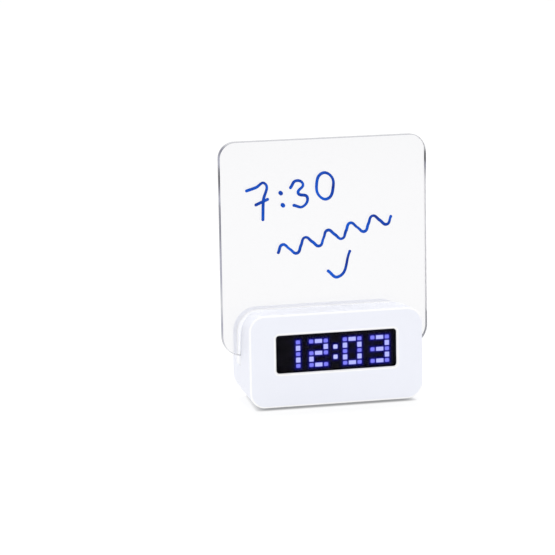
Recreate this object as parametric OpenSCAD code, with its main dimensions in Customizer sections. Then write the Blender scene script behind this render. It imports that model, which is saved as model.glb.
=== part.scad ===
// Desk alarm clock with a clear memo board that stands in a slot across its body.
// Millimetres. X runs to the right, Y from the front face to the back, Z up.
// The origin is on the table, under the middle of the body.

/* [Body] */
// Width of the body
body_w = 100; // [98:1:120]
// Depth of the body from front face to rear face
body_d = 44; // [40:0.5:60]
// Height of the front half above the table
body_h = 53.6; // [53:0.2:64]
// Wall thickness of both shells
wall = 2; // [1.6:0.1:2.2]
// Corner radius of the front face
front_corner_r = 8.8; // [7:0.2:11]
// Corner radius of the rear face
rear_corner_r = 14; // [11:0.5:14.5]
// Rounding of the front edge
front_edge_r = 1; // [0.5:0.1:1.5]
// Rounding of the rear edge
rear_edge_r = 3; // [1.5:0.5:3.5]
// How much lower the rear half stands than the front half
rear_drop = 1.6; // [0:0.2:2]
// Height of the rubber feet below the shells
foot_h = 1.2; // [0.8:0.1:2]
// Diameter of a rubber foot
foot_d = 8; // [6:0.5:10]

/* [Memo board] */
// Width of the clear board
board_w = 120; // [104:1:150]
// Height of the clear board
board_h = 121.3; // [80:0.1:160]
// Thickness of the clear board
board_t = 4; // [3:0.1:4.2]
// Radius of the board's upper corners
board_corner_r = 9.5; // [3:0.5:14]
// Radius of the board's lower corners
board_foot_r = 11.5; // [3:0.5:14]
// Depth of the rear half, from the board's middle to the rear face
rear_d = 19; // [18.5:0.5:21]
// Height of the sill that the board stands on
sill_z = 27.1; // [26.2:0.1:29.2]
// Height where the slot ends on the sides of the body
slot_floor_z = 21.7; // [21.2:0.1:22.7]
// Play on each side of the board in its slot
slot_gap = 0.25; // [0.15:0.05:0.4]
// How far the lips of the slot roll inwards
lip_roll = 1.5; // [0.5:0.1:2]
// Depth over which the lips roll inwards
lip_run = 5.5; // [3:0.5:8]
// Corner radius of the lips
lip_corner_r = 15; // [10:0.5:16]

/* [Slot cradle and light] */
// Wall thickness of the cradle
cradle_wall = 1.5; // [1.2:0.1:1.7]
// Play of the cradle inside the shells
cradle_gap = 0.2; // [0.1:0.05:0.4]
// Number of diodes under the board
led_count = 8; // [4:1:10]
// Spacing of the diodes
led_pitch = 9; // [6:0.5:9]
// Length of a diode
led_l = 3; // [2:0.1:3.5]
// Width of a diode
led_w = 2.4; // [1.6:0.1:3]
// Height of a diode
led_h = 1.9; // [1.2:0.1:1.9]
// Thickness of the light strip
strip_t = 1; // [0.6:0.1:1.2]

/* [Display] */
// Width of the window opening
window_w = 69.5; // [68:0.5:71]
// Height of the window opening
window_h = 21.5; // [20.5:0.5:22.5]
// Height of the middle of the window
window_z = 31.2; // [30.7:0.1:32.2]
// Corner radius of the window opening
window_corner_r = 1.8; // [0.5:0.1:3]
// Depth of the window's face below the front face
window_sink = 0.4; // [0.2:0.1:0.8]
// Width of the slanted edge round the window opening
window_chamfer = 0.6; // [0.2:0.1:1]
// Play round the window in its opening
window_gap = 0.15; // [0.05:0.05:0.3]
// Width of the window's hidden flange
window_flange = 2.2; // [1.5:0.1:2.5]
// Thickness of the window's flange
flange_t = 0.8; // [0.8:0.1:1.5]
// Thickness of the adhesive frame
tape_t = 0.3; // [0.1:0.1:0.5]
// Depth of the display housing
housing_d = 7.5; // [5:0.5:8]
// Depth of the light cells in the housing
cell_depth = 1.2; // [0.8:0.1:3]
// Width of the outer columns of light cells
cell_w = 2.6; // [2.2:0.1:2.9]
// Width of the middle column of light cells
cell_mid_w = 4.3; // [3.5:0.1:4.7]
// Height of the short rows of light cells
cell_h = 2.3; // [2:0.1:2.7]
// Height of the tall rows of light cells
cell_tall_h = 2.9; // [2.5:0.1:3.2]
// Gap between light cells
cell_gap = 0.75; // [0.4:0.05:0.85]
// Spacing of two digits of a pair
digit_pitch = 16; // [14:0.25:16.5]
// Spacing of the two digits beside the colon
colon_pitch = 19.5; // [18:0.5:20]
// Side of a colon dot
dot_w = 2.5; // [2:0.1:3.2]
// Spacing of the colon dots
dot_pitch = 5.8; // [4:0.1:8]
// How far the digits lie below the middle of the window
digits_drop = 0.8; // [0:0.1:1]

/* [Circuit boards] */
// Thickness of the circuit boards
pcb_t = 1.6; // [1:0.1:1.6]
// Width of the display circuit board
display_pcb_w = 88; // [86:1:90]
// Sideways place of the display board's screws
display_screw_x = 40.8; // [40.5:0.1:41]
// Distance of the display board's screws from the edges of its housing
display_screw_inset = 2.5; // [2.2:0.1:5]
// Side of the clock chip
chip_w = 10; // [6:1:14]
// Height of the clock chip
chip_h = 1.6; // [1:0.1:2]
// Diameter of the quartz crystal
crystal_d = 2.4; // [2:0.1:3.2]
// Length of the quartz crystal
crystal_l = 7; // [5:0.5:9]
// Width of the ribbon between the circuit boards
ribbon_w = 10; // [8:0.5:10]
// Thickness of the ribbon
ribbon_t = 0.4; // [0.3:0.1:0.6]
// Diameter of the leads
lead_d = 1; // [0.8:0.1:1.2]

/* [Keys and controls] */
// Width of a key
key_w = 8; // [6:0.5:8.5]
// Height of a key
key_h = 5; // [4:0.1:5]
// Spacing of the keys
key_pitch = 12; // [11.5:0.25:12.5]
// Play round a key in its opening
key_gap = 0.2; // [0.15:0.05:0.3]
// Travel of a key
key_travel = 0.7; // [0.4:0.1:0.8]
// How far a key stands out of its panel
key_proud = 0.9; // [0.9:0.05:1]
// Depth of the sunk panel round the keys
panel_sink = 1; // [1:0.1:1.2]
// Width of the flange that keeps a key in
key_flange = 1.2; // [0.8:0.1:1.2]
// Thickness of the flange that keeps a key in
key_flange_t = 1; // [0.8:0.1:1.2]
// Side of a key switch
switch_w = 6; // [4.5:0.5:6.5]
// Height of a key switch with its plunger
switch_h = 5; // [4.3:0.1:5]
// Diameter of a key switch's plunger
plunger_d = 3.4; // [2:0.1:3.5]
// Travel of the light switch's knob
light_travel = 4; // [2:0.5:4]
// Width of the light switch's knob
knob_w = 3; // [2:0.1:3.5]
// Height of the light switch's knob
knob_h = 3; // [2:0.1:3.5]
// Length of the light switch's body
light_body_w = 11; // [10:0.5:12]
// Height of the light switch's body
light_body_h = 6; // [5:0.5:7]
// Side of the power inlet
inlet_w = 9; // [8:0.5:10]
// Diameter of the power inlet's collar
inlet_collar_d = 7; // [6:0.1:7.5]
// Bore of the power inlet
inlet_bore = 3.6; // [3:0.1:4]
// Diameter of the power inlet's pin
inlet_pin_d = 1.3; // [1:0.1:1.6]
// Diameter of the buzzer
buzzer_d = 12; // [9:0.5:13]
// Diameter of the sound holes
sound_hole_d = 1.8; // [1:0.1:2.2]
// Radius of the ring of sound holes
sound_ring_r = 3.6; // [3:0.1:4.5]

/* [Batteries] */
// Number of cells
cell_count = 3; // [3:1:3]
// Diameter of a cell
cell_d = 10.5; // [10.2:0.1:10.5]
// Length of a cell with its nub
cell_l = 44.5; // [44:0.5:44.5]
// Play round a cell
cell_play = 0.3; // [0.2:0.05:0.4]
// Room for the contact at each end of a cell
contact_room = 2.5; // [2:0.1:2.6]
// Thickness of the contacts
contact_t = 0.4; // [0.3:0.1:0.6]
// Wall of the battery box
box_wall = 1.2; // [1:0.1:1.3]
// Play round the battery door
door_gap = 0.25; // [0.15:0.05:0.4]

/* [Fasteners] */
// Shank diameter of the screws
screw_d = 2.1; // [1.8:0.1:2.4]
// Play between a screw's shank and its pilot hole
pilot_gap = 0.1; // [0.04:0.02:0.16]
// Play between a screw's shank and its through hole
through_gap = 0.5; // [0.3:0.1:0.7]
// Length of a screw's shank
screw_l = 9; // [8:0.5:10]
// Head diameter of the screws
head_d = 4.2; // [3.6:0.1:4.4]
// Head height of the screws
head_h = 1.6; // [1.2:0.1:1.8]
// Play round a screw's head in its well
head_gap = 0.6; // [0.4:0.1:0.8]
// Diameter of the bosses
boss_d = 7; // [6.5:0.1:7.2]
// Diameter of the posts of the circuit boards
post_d = 5; // [4.5:0.1:5.5]
// Thickness of the seat under a case screw's head
seat_t = 2.5; // [2:0.1:3]
// Distance of the case screws from the sides of the body
case_screw_inset = 9.5; // [9.5:0.1:10]
// Height of the lower case screws above the underside
case_screw_low = 8.8; // [8.7:0.1:9.4]
// How far the upper case screws lie below the row of keys
case_screw_drop = 4; // [3.6:0.1:4.4]

/* [Hidden] */
$fn = 48;
round_fn = 32;
skin = 0.01;
over = 1;
steps = 4;
least_r = 0.5;

// Body faces
y_front = -body_d / 2;
y_rear = body_d / 2;
in_front = y_front + wall;
in_rear = y_rear - wall;
z_low = foot_h;
z_rear_top = body_h - rear_drop;
in_low = z_low + wall;

// Slot and parting plane
board_y = y_rear - rear_d;
slot_t = board_t + 2 * slot_gap;
slot_y0 = board_y - slot_t / 2;
slot_y1 = board_y + slot_t / 2;
parting_y = board_y;

// Display stack, from the front wall backwards
tape_y1 = in_front + tape_t;
flange_y1 = tape_y1 + flange_t;
housing_gap = 0.1;
housing_lap_x = 1.25;
housing_lap_z = 0.75;
display_pcb_tab = 6.5;
crystal_gap = 4;
flange_corner_r = window_corner_r + 1;
housing_y0 = flange_y1 + housing_gap;
housing_y1 = housing_y0 + housing_d;
display_pcb_y1 = housing_y1 + pcb_t;
housing_w = window_w + 2 * housing_lap_x;
housing_h = window_h + 2 * housing_lap_z;
flange_w = window_w + 2 * window_flange;
flange_h = window_h + 2 * window_flange;
display_pcb_z0 = window_z - housing_h / 2;
display_pcb_z1 = window_z + housing_h / 2 + display_pcb_tab;
display_screw_dz = housing_h / 2 - display_screw_inset;
display_screws = [for (s = [-1, 1], t = [-1, 1]) [s * display_screw_x, window_z + t * display_screw_dz]];

// Light cells: column and row places inside a digit, from its middle
col_x = [-(cell_mid_w + cell_w) / 2 - cell_gap, 0, (cell_mid_w + cell_w) / 2 + cell_gap];
col_w = [cell_w, cell_mid_w, cell_w];
row_dz = (cell_h + cell_tall_h) / 2 + cell_gap;
row_z = [2 * row_dz, row_dz, 0, -row_dz, -2 * row_dz];
row_h = [cell_h, cell_tall_h, cell_h, cell_tall_h, cell_h];
digits_z = window_z - digits_drop;
digit_x = [-colon_pitch / 2 - digit_pitch, -colon_pitch / 2,
    colon_pitch / 2, colon_pitch / 2 + digit_pitch];
// The cells that are lit in each of the digits that are shown, row by row from the top
ONE = [[0, 0, 1], [0, 0, 1], [0, 0, 1], [0, 0, 1], [0, 0, 1]];
TWO = [[1, 1, 1], [0, 0, 1], [1, 1, 1], [1, 0, 0], [1, 1, 1]];
ZERO = [[1, 1, 1], [1, 0, 1], [1, 0, 1], [1, 0, 1], [1, 1, 1]];
THREE = [[1, 1, 1], [0, 0, 1], [1, 1, 1], [0, 0, 1], [1, 1, 1]];
shown = [ONE, TWO, ZERO, THREE];

// Cradle
cradle_y0 = slot_y0 - cradle_wall;
cradle_y1 = slot_y1 + cradle_wall;
cradle_half_w = body_w / 2 - lip_roll - wall - cradle_gap;
cradle_end_sink = 0.1;
cradle_end_w = body_w / 2 - cradle_end_sink;
cradle_z0 = slot_floor_z + cradle_gap;
cradle_top = body_h - lip_roll - wall - cradle_gap;
cradle_corner_r = lip_corner_r - wall;
led_sink = 0.4;
led_room_x = 0.3;
led_room_y = 0.2;
strip_gap = 0.1;
strip_margin = 5;
led_top = sill_z - led_sink;
strip_z1 = led_top - led_h;
strip_z0 = strip_z1 - strip_t;
strip_w = led_count * led_pitch + 2 * strip_margin;
ear_w = 8;
ear_x = 14;
ear_gap = 0.6;
ear_z = window_z - flange_h / 2 - post_d / 2 - ear_gap;
pilot_floor = 0.6;

// Rear stack, from the rear wall forwards
key_y0 = in_rear - key_flange_t;
key_corner_r = 1.5;
press_gap = 0.1;
plunger_share = 0.3;
switch_top = key_y0 - key_travel - press_gap;
plunger_y0 = switch_top - switch_h * plunger_share;
key_pcb_y1 = switch_top - switch_h;
key_pcb_y0 = key_pcb_y1 - pcb_t;
bay_w = cell_l + 2 * contact_room;
bay_pitch = cell_d + cell_play;
bay_h = cell_count * bay_pitch + cell_play;
inner_edge_r = max(rear_edge_r - wall, least_r);
box_gap = 0.2;
bay_z0 = in_low + inner_edge_r + box_wall + box_gap;
bay_z1 = bay_z0 + bay_h;
bay_y0 = in_rear - cell_d - 2 * cell_play;
battery_y = in_rear - cell_play - cell_d / 2;
box_w = bay_w + 2 * box_wall;
door_rim = 0.7;
door_corner_r = 1.3;
door_w = bay_w + 2 * (door_rim - door_gap);
door_h = bay_h + 2 * (door_rim - door_gap);
door_z = bay_z0 + bay_h / 2;
key_flange_w = key_w + 2 * key_flange;
key_flange_h = key_h + 2 * key_flange;
key_row_gap = 0.8;
key_z = bay_z1 + box_wall + key_row_gap + key_flange_h / 2;
key_x = [for (i = [0:4]) (i - 2) * key_pitch];
panel_margin_x = 2;
panel_margin_z = 1;
panel_corner_r = 2;
panel_w = 4 * key_pitch + key_w + 2 * panel_margin_x;
panel_h = key_h + 2 * panel_margin_z;
leg_gap = 1.2;
leg_side_gap = 3;
leg_boss_gap = 1.5;
leg_x0 = box_w / 2 + leg_gap;
leg_x1 = body_w / 2 - wall - leg_side_gap;
leg_z0 = z_low + case_screw_low + boss_d / 2 + leg_boss_gap;
leg_mid_x = (leg_x0 + leg_x1) / 2;
key_pcb_rise = 4.4;
key_pcb_gap = 0.4;
key_pcb_boss_gap = 1;
leg_top_gap = 0.5;
post_inset = 3;
key_pcb_top = key_z + key_pcb_rise;
key_pcb_step = bay_z1 + box_wall + key_pcb_gap;
key_pcb_half = body_w / 2 - case_screw_inset - boss_d / 2 - key_pcb_boss_gap;
leg_top = key_z - case_screw_drop - boss_d / 2 - leg_top_gap;
key_posts = [for (s = [-1, 1]) each [[s * (leg_x1 - post_inset), leg_z0 + post_inset],
    [s * (key_pcb_half - post_inset), key_z]]];
inlet_gap = 0.8;
inlet_sink = 0.2;
inlet_floor = 1;
inlet_pin_sink = 1;
inlet_rise = 3;
buzzer_rise = 3;
buzzer_gap = 0.3;
buzzer_port_d = 2;
buzzer_port_l = 1;
inlet_x = leg_x0 + inlet_w / 2 + inlet_gap;
inlet_z = leg_z0 + inlet_w / 2 + inlet_rise;
buzzer_z = inlet_z + buzzer_rise;
light_z = leg_top - light_body_h / 2;
light_gap = 2;
light_body_y1 = in_rear - light_gap;
knob_root = 1.5;
light_panel_x = 2;
light_panel_z = 1.5;
knob_corner_r = 0.4;
light_x0 = leg_mid_x - light_travel / 2;

// Cross in a screw's head, as shares of the head's diameter
cross_arm = 0.3;
cross_slit = 0.07;

// Case screws: the lower pair joins the shells, the upper pair holds the rear shell to the cradle
case_x = body_w / 2 - case_screw_inset;
case_low_z = z_low + case_screw_low;
case_high_z = key_z - case_screw_drop;
low_seat_y = parting_y + seat_t;
high_joint_y = slot_y1 + cradle_wall + screw_l - seat_t;
high_seat_y = high_joint_y + seat_t;

function corner_r(y) = front_corner_r + (rear_corner_r - front_corner_r) * (y - y_front) / body_d;

// A flat rounded rectangle with true arcs
module round_rect(w, h, r) {
    square([w - 2 * r, h], center = true);
    square([w, h - 2 * r], center = true);
    for (x = [-1, 1], y = [-1, 1]) translate([x * (w / 2 - r), y * (h / 2 - r)]) circle(r);
}

// A rounded plate that stands across Y, from y0 to y1, with its middle at x, z
module plate(x, z, y0, y1, w, h, r) {
    translate([x, y1, z]) rotate([90, 0, 0]) linear_extrude(y1 - y0) round_rect(w, h, r);
}

// A round bar along Y from y0 to y1
module bar(x, z, y0, y1, d) {
    translate([x, y0, z]) rotate([-90, 0, 0]) cylinder(d = d, h = y1 - y0);
}

// A box given by its lowest and highest corners
module block(a, b) {
    translate(a) cube(b - a);
}

// The two lower corners of a shell's outline at y, shrunk by inset all round
module low_corners(y, inset) {
    r = max(corner_r(y) - inset, least_r);
    for (s = [-1, 1]) translate([s * (body_w / 2 - inset - r), y, z_low + inset + r])
        rotate([-90, 0, 0]) cylinder(r = r, h = skin, $fn = round_fn);
}

// The two upper corners, drawn in by roll and with roll_r added to their radius
module top_corners(y, top, inset, roll, roll_r) {
    r = max(corner_r(y) + roll_r - inset, least_r);
    for (s = [-1, 1]) translate([s * (body_w / 2 - inset - roll - r), y, top - inset - roll - r])
        rotate([-90, 0, 0]) cylinder(r = r, h = skin, $fn = round_fn);
}

// Smooth block from its rounded outer end at y0 to the lips at y1.
// Its skirt, below the slot, goes on to y2.
module rounded_half(y0, y1, y2, top, inset, edge) {
    way = y1 > y0 ? 1 : -1;
    back = way > 0 ? skin : 0;
    hull() {
        for (i = [0:steps]) {
            turn = 90 * i / steps;
            y = y0 + way * edge * (1 - cos(turn)) - (skin - back);
            low_corners(y, inset + edge * (1 - sin(turn)));
            top_corners(y, top, inset + edge * (1 - sin(turn)), 0, 0);
        }
        for (i = [0:steps]) {
            turn = 90 * i / steps;
            roll = lip_roll * (1 - cos(turn));
            roll_r = (lip_corner_r - corner_r(y1)) * (1 - cos(turn));
            top_corners(y1 - way * lip_run * (1 - sin(turn)) - back, top, inset, roll, roll_r);
        }
        low_corners(y2 - back, inset);
        block([inset - body_w / 2, y2 - back, z_low + inset + front_corner_r],
            [body_w / 2 - inset, y2 - back + skin, slot_floor_z]);
    }
}

// The space of the slot above the skirts, from y0 to y1
module slot_space(y0, y1) {
    block([-body_w, y0, slot_floor_z], [body_w, y1, 2 * body_h]);
}

// Screw along Y: its head's seat is at y and its shank runs towards the front when way is -1
module screw(x, z, y, way) {
    if (way < 0) {
        bar(x, z, y - screw_l, y, screw_d);
        difference() {
            bar(x, z, y, y + head_h, head_d);
            screw_cross(x, z, y + head_h / 2, y + head_h + over);
        }
    } else {
        bar(x, z, y, y + screw_l, screw_d);
        difference() {
            bar(x, z, y - head_h, y, head_d);
            screw_cross(x, z, y - head_h - over, y - head_h / 2);
        }
    }
}

module screw_cross(x, z, y0, y1) {
    arm = head_d * cross_arm;
    slit = head_d * cross_slit;
    block([x - arm, y0, z - slit], [x + arm, y1, z + slit]);
    block([x - slit, y0, z - arm], [x + slit, y1, z + arm]);
}

module front_shell() {
    color("white") difference() {
        union() {
            difference() {
                rounded_half(y_front, slot_y0, parting_y, body_h, 0, front_edge_r);
                rounded_half(in_front, slot_y0 + over, parting_y + over, body_h, wall, front_edge_r);
                slot_space(slot_y0, parting_y + over);
            }
            for (p = display_screws) bar(p[0], p[1], in_front - skin, housing_y1, post_d);
            for (s = [-1, 1]) bar(s * case_x, case_low_z, in_front - skin, parting_y, boss_d);
            for (s = [-1, 1]) bar(s * ear_x, ear_z, in_front - skin, cradle_y0, post_d);
        }
        plate(0, window_z, y_front - over, in_front + over, window_w, window_h, window_corner_r);
        hull() {
            plate(0, window_z, y_front - skin, y_front, window_w + 2 * window_chamfer,
                window_h + 2 * window_chamfer, window_corner_r + window_chamfer);
            plate(0, window_z, y_front + window_chamfer, y_front + window_chamfer + skin,
                window_w, window_h, window_corner_r);
        }
        for (p = display_screws) pilot(p[0], p[1], display_pcb_y1 - screw_l - over, housing_y1 + over);
        for (s = [-1, 1]) pilot(s * case_x, case_low_z, low_seat_y - screw_l - over, parting_y + over);
        for (s = [-1, 1]) pilot(s * ear_x, ear_z, slot_y0 - screw_l - over, cradle_y0 + over);
        foot_seats(-1);
    }
}

module pilot(x, z, y0, y1) {
    bar(x, z, y0, y1, screw_d + 2 * pilot_gap);
}

module through(x, z, y0, y1) {
    bar(x, z, y0, y1, screw_d + 2 * through_gap);
}

module head_well(x, z, y0) {
    bar(x, z, y0, y_rear + over, head_d + 2 * head_gap);
}

module rear_shell() {
    color("white") difference() {
        union() {
            difference() {
                rounded_half(y_rear, slot_y1, parting_y, z_rear_top, 0, rear_edge_r);
                rounded_half(in_rear, slot_y1 - over, parting_y - over, z_rear_top, wall, inner_edge_r);
                slot_space(parting_y - over, slot_y1);
            }
            for (s = [-1, 1]) {
                bar(s * case_x, case_low_z, parting_y, in_rear + skin, boss_d);
                bar(s * case_x, case_high_z, high_joint_y, in_rear + skin, boss_d);
            }
            for (p = key_posts) bar(p[0], p[1], key_pcb_y1, in_rear + skin, post_d);
        }
        for (s = [-1, 1]) {
            head_well(s * case_x, case_low_z, low_seat_y);
            through(s * case_x, case_low_z, parting_y - over, low_seat_y + over);
            head_well(s * case_x, case_high_z, high_seat_y);
            through(s * case_x, case_high_z, high_joint_y - over, high_seat_y + over);
        }
        for (p = key_posts) pilot(p[0], p[1], key_pcb_y1 - over, key_pcb_y0 + screw_l + over / 2);
        plate(0, door_z, in_rear - over, y_rear + over, door_w + 2 * door_gap, door_h + 2 * door_gap,
            door_corner_r + door_gap);
        plate(0, key_z, y_rear - panel_sink, y_rear + over, panel_w, panel_h, panel_corner_r);
        for (x = key_x)
            plate(x, key_z, in_rear - over, y_rear, key_w + 2 * key_gap, key_h + 2 * key_gap,
                key_corner_r + key_gap);
        plate(leg_mid_x, light_z, y_rear - panel_sink, y_rear + over,
            light_travel + knob_w + 2 * light_panel_x, knob_h + 2 * light_panel_z, panel_corner_r);
        plate(leg_mid_x, light_z, in_rear - over, y_rear, light_travel + knob_w + 2 * key_gap,
            knob_h + 2 * key_gap, knob_corner_r + key_gap);
        bar(inlet_x, inlet_z, in_rear - over, y_rear + over, inlet_collar_d + 2 * key_gap);
        bar(-leg_mid_x, buzzer_z, in_rear - over, y_rear + over, sound_hole_d);
        for (i = [0:5])
            bar(-leg_mid_x + sound_ring_r * cos(60 * i), buzzer_z + sound_ring_r * sin(60 * i),
                in_rear - over, y_rear + over, sound_hole_d);
        foot_seats(1);
    }
}

module display_window() {
    color([0.05, 0.05, 0.07, 0.8]) {
        plate(0, window_z, tape_y1, flange_y1, flange_w, flange_h, flange_corner_r);
        plate(0, window_z, y_front + window_sink, tape_y1, window_w - 2 * window_gap,
            window_h - 2 * window_gap, window_corner_r - window_gap);
    }
}

module window_tape() {
    color("black") difference() {
        plate(0, window_z, in_front, tape_y1, flange_w, flange_h, flange_corner_r);
        plate(0, window_z, in_front - over, tape_y1 + over, window_w, window_h, window_corner_r);
    }
}

// One light cell of the display, in digit d at row i and column j
module light_cell(d, i, j) {
    x = digit_x[d] + col_x[j];
    z = digits_z + row_z[i];
    block([x - col_w[j] / 2, housing_y0, z - row_h[i] / 2],
        [x + col_w[j] / 2, housing_y0 + cell_depth, z + row_h[i] / 2]);
}

module colon() {
    for (s = [-1, 1])
        block([-dot_w / 2, housing_y0, digits_z + s * dot_pitch / 2 - dot_w / 2],
            [dot_w / 2, housing_y0 + cell_depth, digits_z + s * dot_pitch / 2 + dot_w / 2]);
}

// A digit has no cell in the middle of its tall rows
function has_cell(i, j) = j != 1 || i % 2 == 0;
function is_edge(i, j) = j == 1 || i % 2 == 1;

module display_housing() {
    color("black") difference() {
        block([-housing_w / 2, housing_y0, window_z - housing_h / 2],
            [housing_w / 2, housing_y1, window_z + housing_h / 2]);
        for (d = [0:3], i = [0:4], j = [0:2]) if (has_cell(i, j)) light_cell(d, i, j);
        colon();
    }
}

module lit_edge_cells() {
    color([0.74, 0.72, 1])
        for (d = [0:3], i = [0:4], j = [0:2])
            if (has_cell(i, j) && shown[d][i][j] == 1 && is_edge(i, j)) light_cell(d, i, j);
}

module lit_corner_cells() {
    color([0.47, 0.43, 0.92])
        for (d = [0:3], i = [0:4], j = [0:2])
            if (has_cell(i, j) && shown[d][i][j] == 1 && !is_edge(i, j)) light_cell(d, i, j);
}

module colon_dots() {
    color([0.8, 0.78, 1]) colon();
}

module unlit_cells() {
    color([0.1, 0.1, 0.12])
        for (d = [0:3], i = [0:4], j = [0:2])
            if (has_cell(i, j) && shown[d][i][j] == 0) light_cell(d, i, j);
}

module display_board() {
    color("darkgreen") difference() {
        block([-display_pcb_w / 2, housing_y1, display_pcb_z0],
            [display_pcb_w / 2, display_pcb_y1, display_pcb_z1]);
        for (p = display_screws) through(p[0], p[1], housing_y1 - over, display_pcb_y1 + over);
    }
}

module clock_chip() {
    color([0.12, 0.12, 0.12])
        block([-chip_w / 2, display_pcb_y1, window_z - chip_w / 2],
            [chip_w / 2, display_pcb_y1 + chip_h, window_z + chip_w / 2]);
}

module quartz_crystal() {
    color("silver")
        translate([chip_w / 2 + crystal_gap, display_pcb_y1 + crystal_d / 2, window_z - crystal_l / 2])
            cylinder(d = crystal_d, h = crystal_l);
}

module display_board_screws() {
    color("silver") for (p = display_screws) screw(p[0], p[1], display_pcb_y1, -1);
}

// One wall of the cradle, with round upper corners, from y0 to y1
module cradle_plate(y0, y1, top) {
    r = cradle_corner_r;
    block([-cradle_half_w, y0, cradle_z0], [cradle_half_w, y1, top - r]);
    block([-cradle_half_w + r, y0, cradle_z0], [cradle_half_w - r, y1, top]);
    for (s = [-1, 1]) bar(s * (cradle_half_w - r), top - r, y0, y1, 2 * r);
}

module board_cradle() {
    color("whitesmoke") difference() {
        union() {
            cradle_plate(cradle_y0, slot_y0, cradle_top);
            cradle_plate(slot_y1, cradle_y1, cradle_top - rear_drop);
            block([-cradle_half_w, slot_y0 - skin, sill_z - cradle_wall],
                [cradle_half_w, slot_y1 + skin, sill_z]);
            for (s = [-1, 1]) {
                translate([s * (cradle_half_w + cradle_end_w) / 2, board_y, (cradle_z0 + sill_z) / 2])
                    cube([cradle_end_w - cradle_half_w + 2 * skin, slot_t - 2 * cradle_gap,
                        sill_z - cradle_z0], center = true);
                block([s * ear_x - ear_w / 2, cradle_y0, ear_z - ear_w / 2],
                    [s * ear_x + ear_w / 2, slot_y0, cradle_z0 + over]);
                bar(s * case_x, case_high_z, slot_y1, high_joint_y, post_d);
            }
        }
        for (x = led_places())
            block([x - led_l / 2 - led_room_x, slot_y0 + led_room_y, sill_z - cradle_wall - over],
                [x + led_l / 2 + led_room_x, slot_y1 - led_room_y, sill_z + over]);
        for (s = [-1, 1]) {
            through(s * ear_x, ear_z, cradle_y0 - over, slot_y0 + over);
            pilot(s * case_x, case_high_z, slot_y1 + pilot_floor, high_joint_y + over);
        }
    }
}

function led_places() = [for (i = [0:led_count - 1]) (i - (led_count - 1) / 2) * led_pitch];

module cradle_screws() {
    color("silver") for (s = [-1, 1]) screw(s * ear_x, ear_z, slot_y0, -1);
}

module light_strip() {
    color("white") block([-strip_w / 2, slot_y0 + strip_gap, strip_z0],
        [strip_w / 2, slot_y1 - strip_gap, strip_z1]);
}

module light_strip_leds() {
    color("lightyellow") for (x = led_places())
        block([x - led_l / 2, board_y - led_w / 2, strip_z1],
            [x + led_l / 2, board_y + led_w / 2, led_top]);
}

module memo_board() {
    foot_half = board_w / 2 - board_foot_r;
    top_half = board_w / 2 - board_corner_r;
    top_z = board_h - board_corner_r;
    color([0.9, 0.95, 1, 0.3])
        translate([0, board_y + board_t / 2, sill_z]) rotate([90, 0, 0]) linear_extrude(board_t) {
            translate([-board_w / 2, board_foot_r]) square([board_w, top_z - board_foot_r]);
            translate([-foot_half, 0]) square([2 * foot_half, board_h / 2]);
            translate([-top_half, board_h / 2]) square([2 * top_half, board_h / 2]);
            for (s = [-1, 1]) {
                translate([s * foot_half, board_foot_r]) circle(board_foot_r);
                translate([s * top_half, top_z]) circle(board_corner_r);
            }
        }
}

module key_board() {
    color("darkgreen") difference() {
        translate([0, key_pcb_y1, 0]) rotate([90, 0, 0]) linear_extrude(pcb_t) polygon([
            [-leg_x1, leg_z0], [-leg_x0, leg_z0], [-leg_x0, key_pcb_step], [leg_x0, key_pcb_step],
            [leg_x0, leg_z0], [leg_x1, leg_z0], [leg_x1, leg_top], [key_pcb_half, leg_top],
            [key_pcb_half, key_pcb_top], [-key_pcb_half, key_pcb_top], [-key_pcb_half, leg_top],
            [-leg_x1, leg_top]
        ]);
        for (p = key_posts) through(p[0], p[1], key_pcb_y0 - over, key_pcb_y1 + over);
    }
}

module key_switches() {
    color([0.15, 0.15, 0.15]) for (x = key_x) {
        block([x - switch_w / 2, key_pcb_y1, key_z - switch_w / 2],
            [x + switch_w / 2, plunger_y0, key_z + switch_w / 2]);
        bar(x, key_z, plunger_y0, switch_top, plunger_d);
    }
}

module key(i) {
    color("gainsboro") {
        plate(key_x[i], key_z, in_rear, y_rear - panel_sink + key_proud, key_w, key_h, key_corner_r);
        plate(key_x[i], key_z, key_y0, in_rear, key_flange_w, key_flange_h, key_corner_r);
    }
}

module mode_key() {
    key(0);
}

module set_key() {
    key(1);
}

module up_key() {
    key(2);
}

module down_key() {
    key(3);
}

module alarm_key() {
    key(4);
}

module light_switch_body() {
    color("dimgray") difference() {
        block([leg_mid_x - light_body_w / 2, key_pcb_y1, light_z - light_body_h / 2],
            [leg_mid_x + light_body_w / 2, light_body_y1, light_z + light_body_h / 2]);
        block([leg_mid_x - (light_travel + knob_w) / 2 - key_gap, light_body_y1 - knob_root,
            light_z - knob_h / 2 - key_gap],
            [leg_mid_x + (light_travel + knob_w) / 2 + key_gap, light_body_y1 + over,
                light_z + knob_h / 2 + key_gap]);
    }
}

module light_switch_knob() {
    color([0.1, 0.1, 0.1])
        plate(light_x0, light_z, light_body_y1 - knob_root + press_gap, y_rear - panel_sink + key_proud,
            knob_w, knob_h, knob_corner_r);
}

module power_inlet() {
    color([0.1, 0.1, 0.1]) difference() {
        union() {
            block([inlet_x - inlet_w / 2, key_pcb_y1, inlet_z - inlet_w / 2],
                [inlet_x + inlet_w / 2, in_rear, inlet_z + inlet_w / 2]);
            bar(inlet_x, inlet_z, in_rear - over, y_rear - inlet_sink, inlet_collar_d);
        }
        bar(inlet_x, inlet_z, key_pcb_y1 + inlet_floor, y_rear + over, inlet_bore);
    }
}

module inlet_pin() {
    color("silver")
        bar(inlet_x, inlet_z, key_pcb_y1 + inlet_floor, y_rear - inlet_sink - inlet_pin_sink, inlet_pin_d);
}

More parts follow.
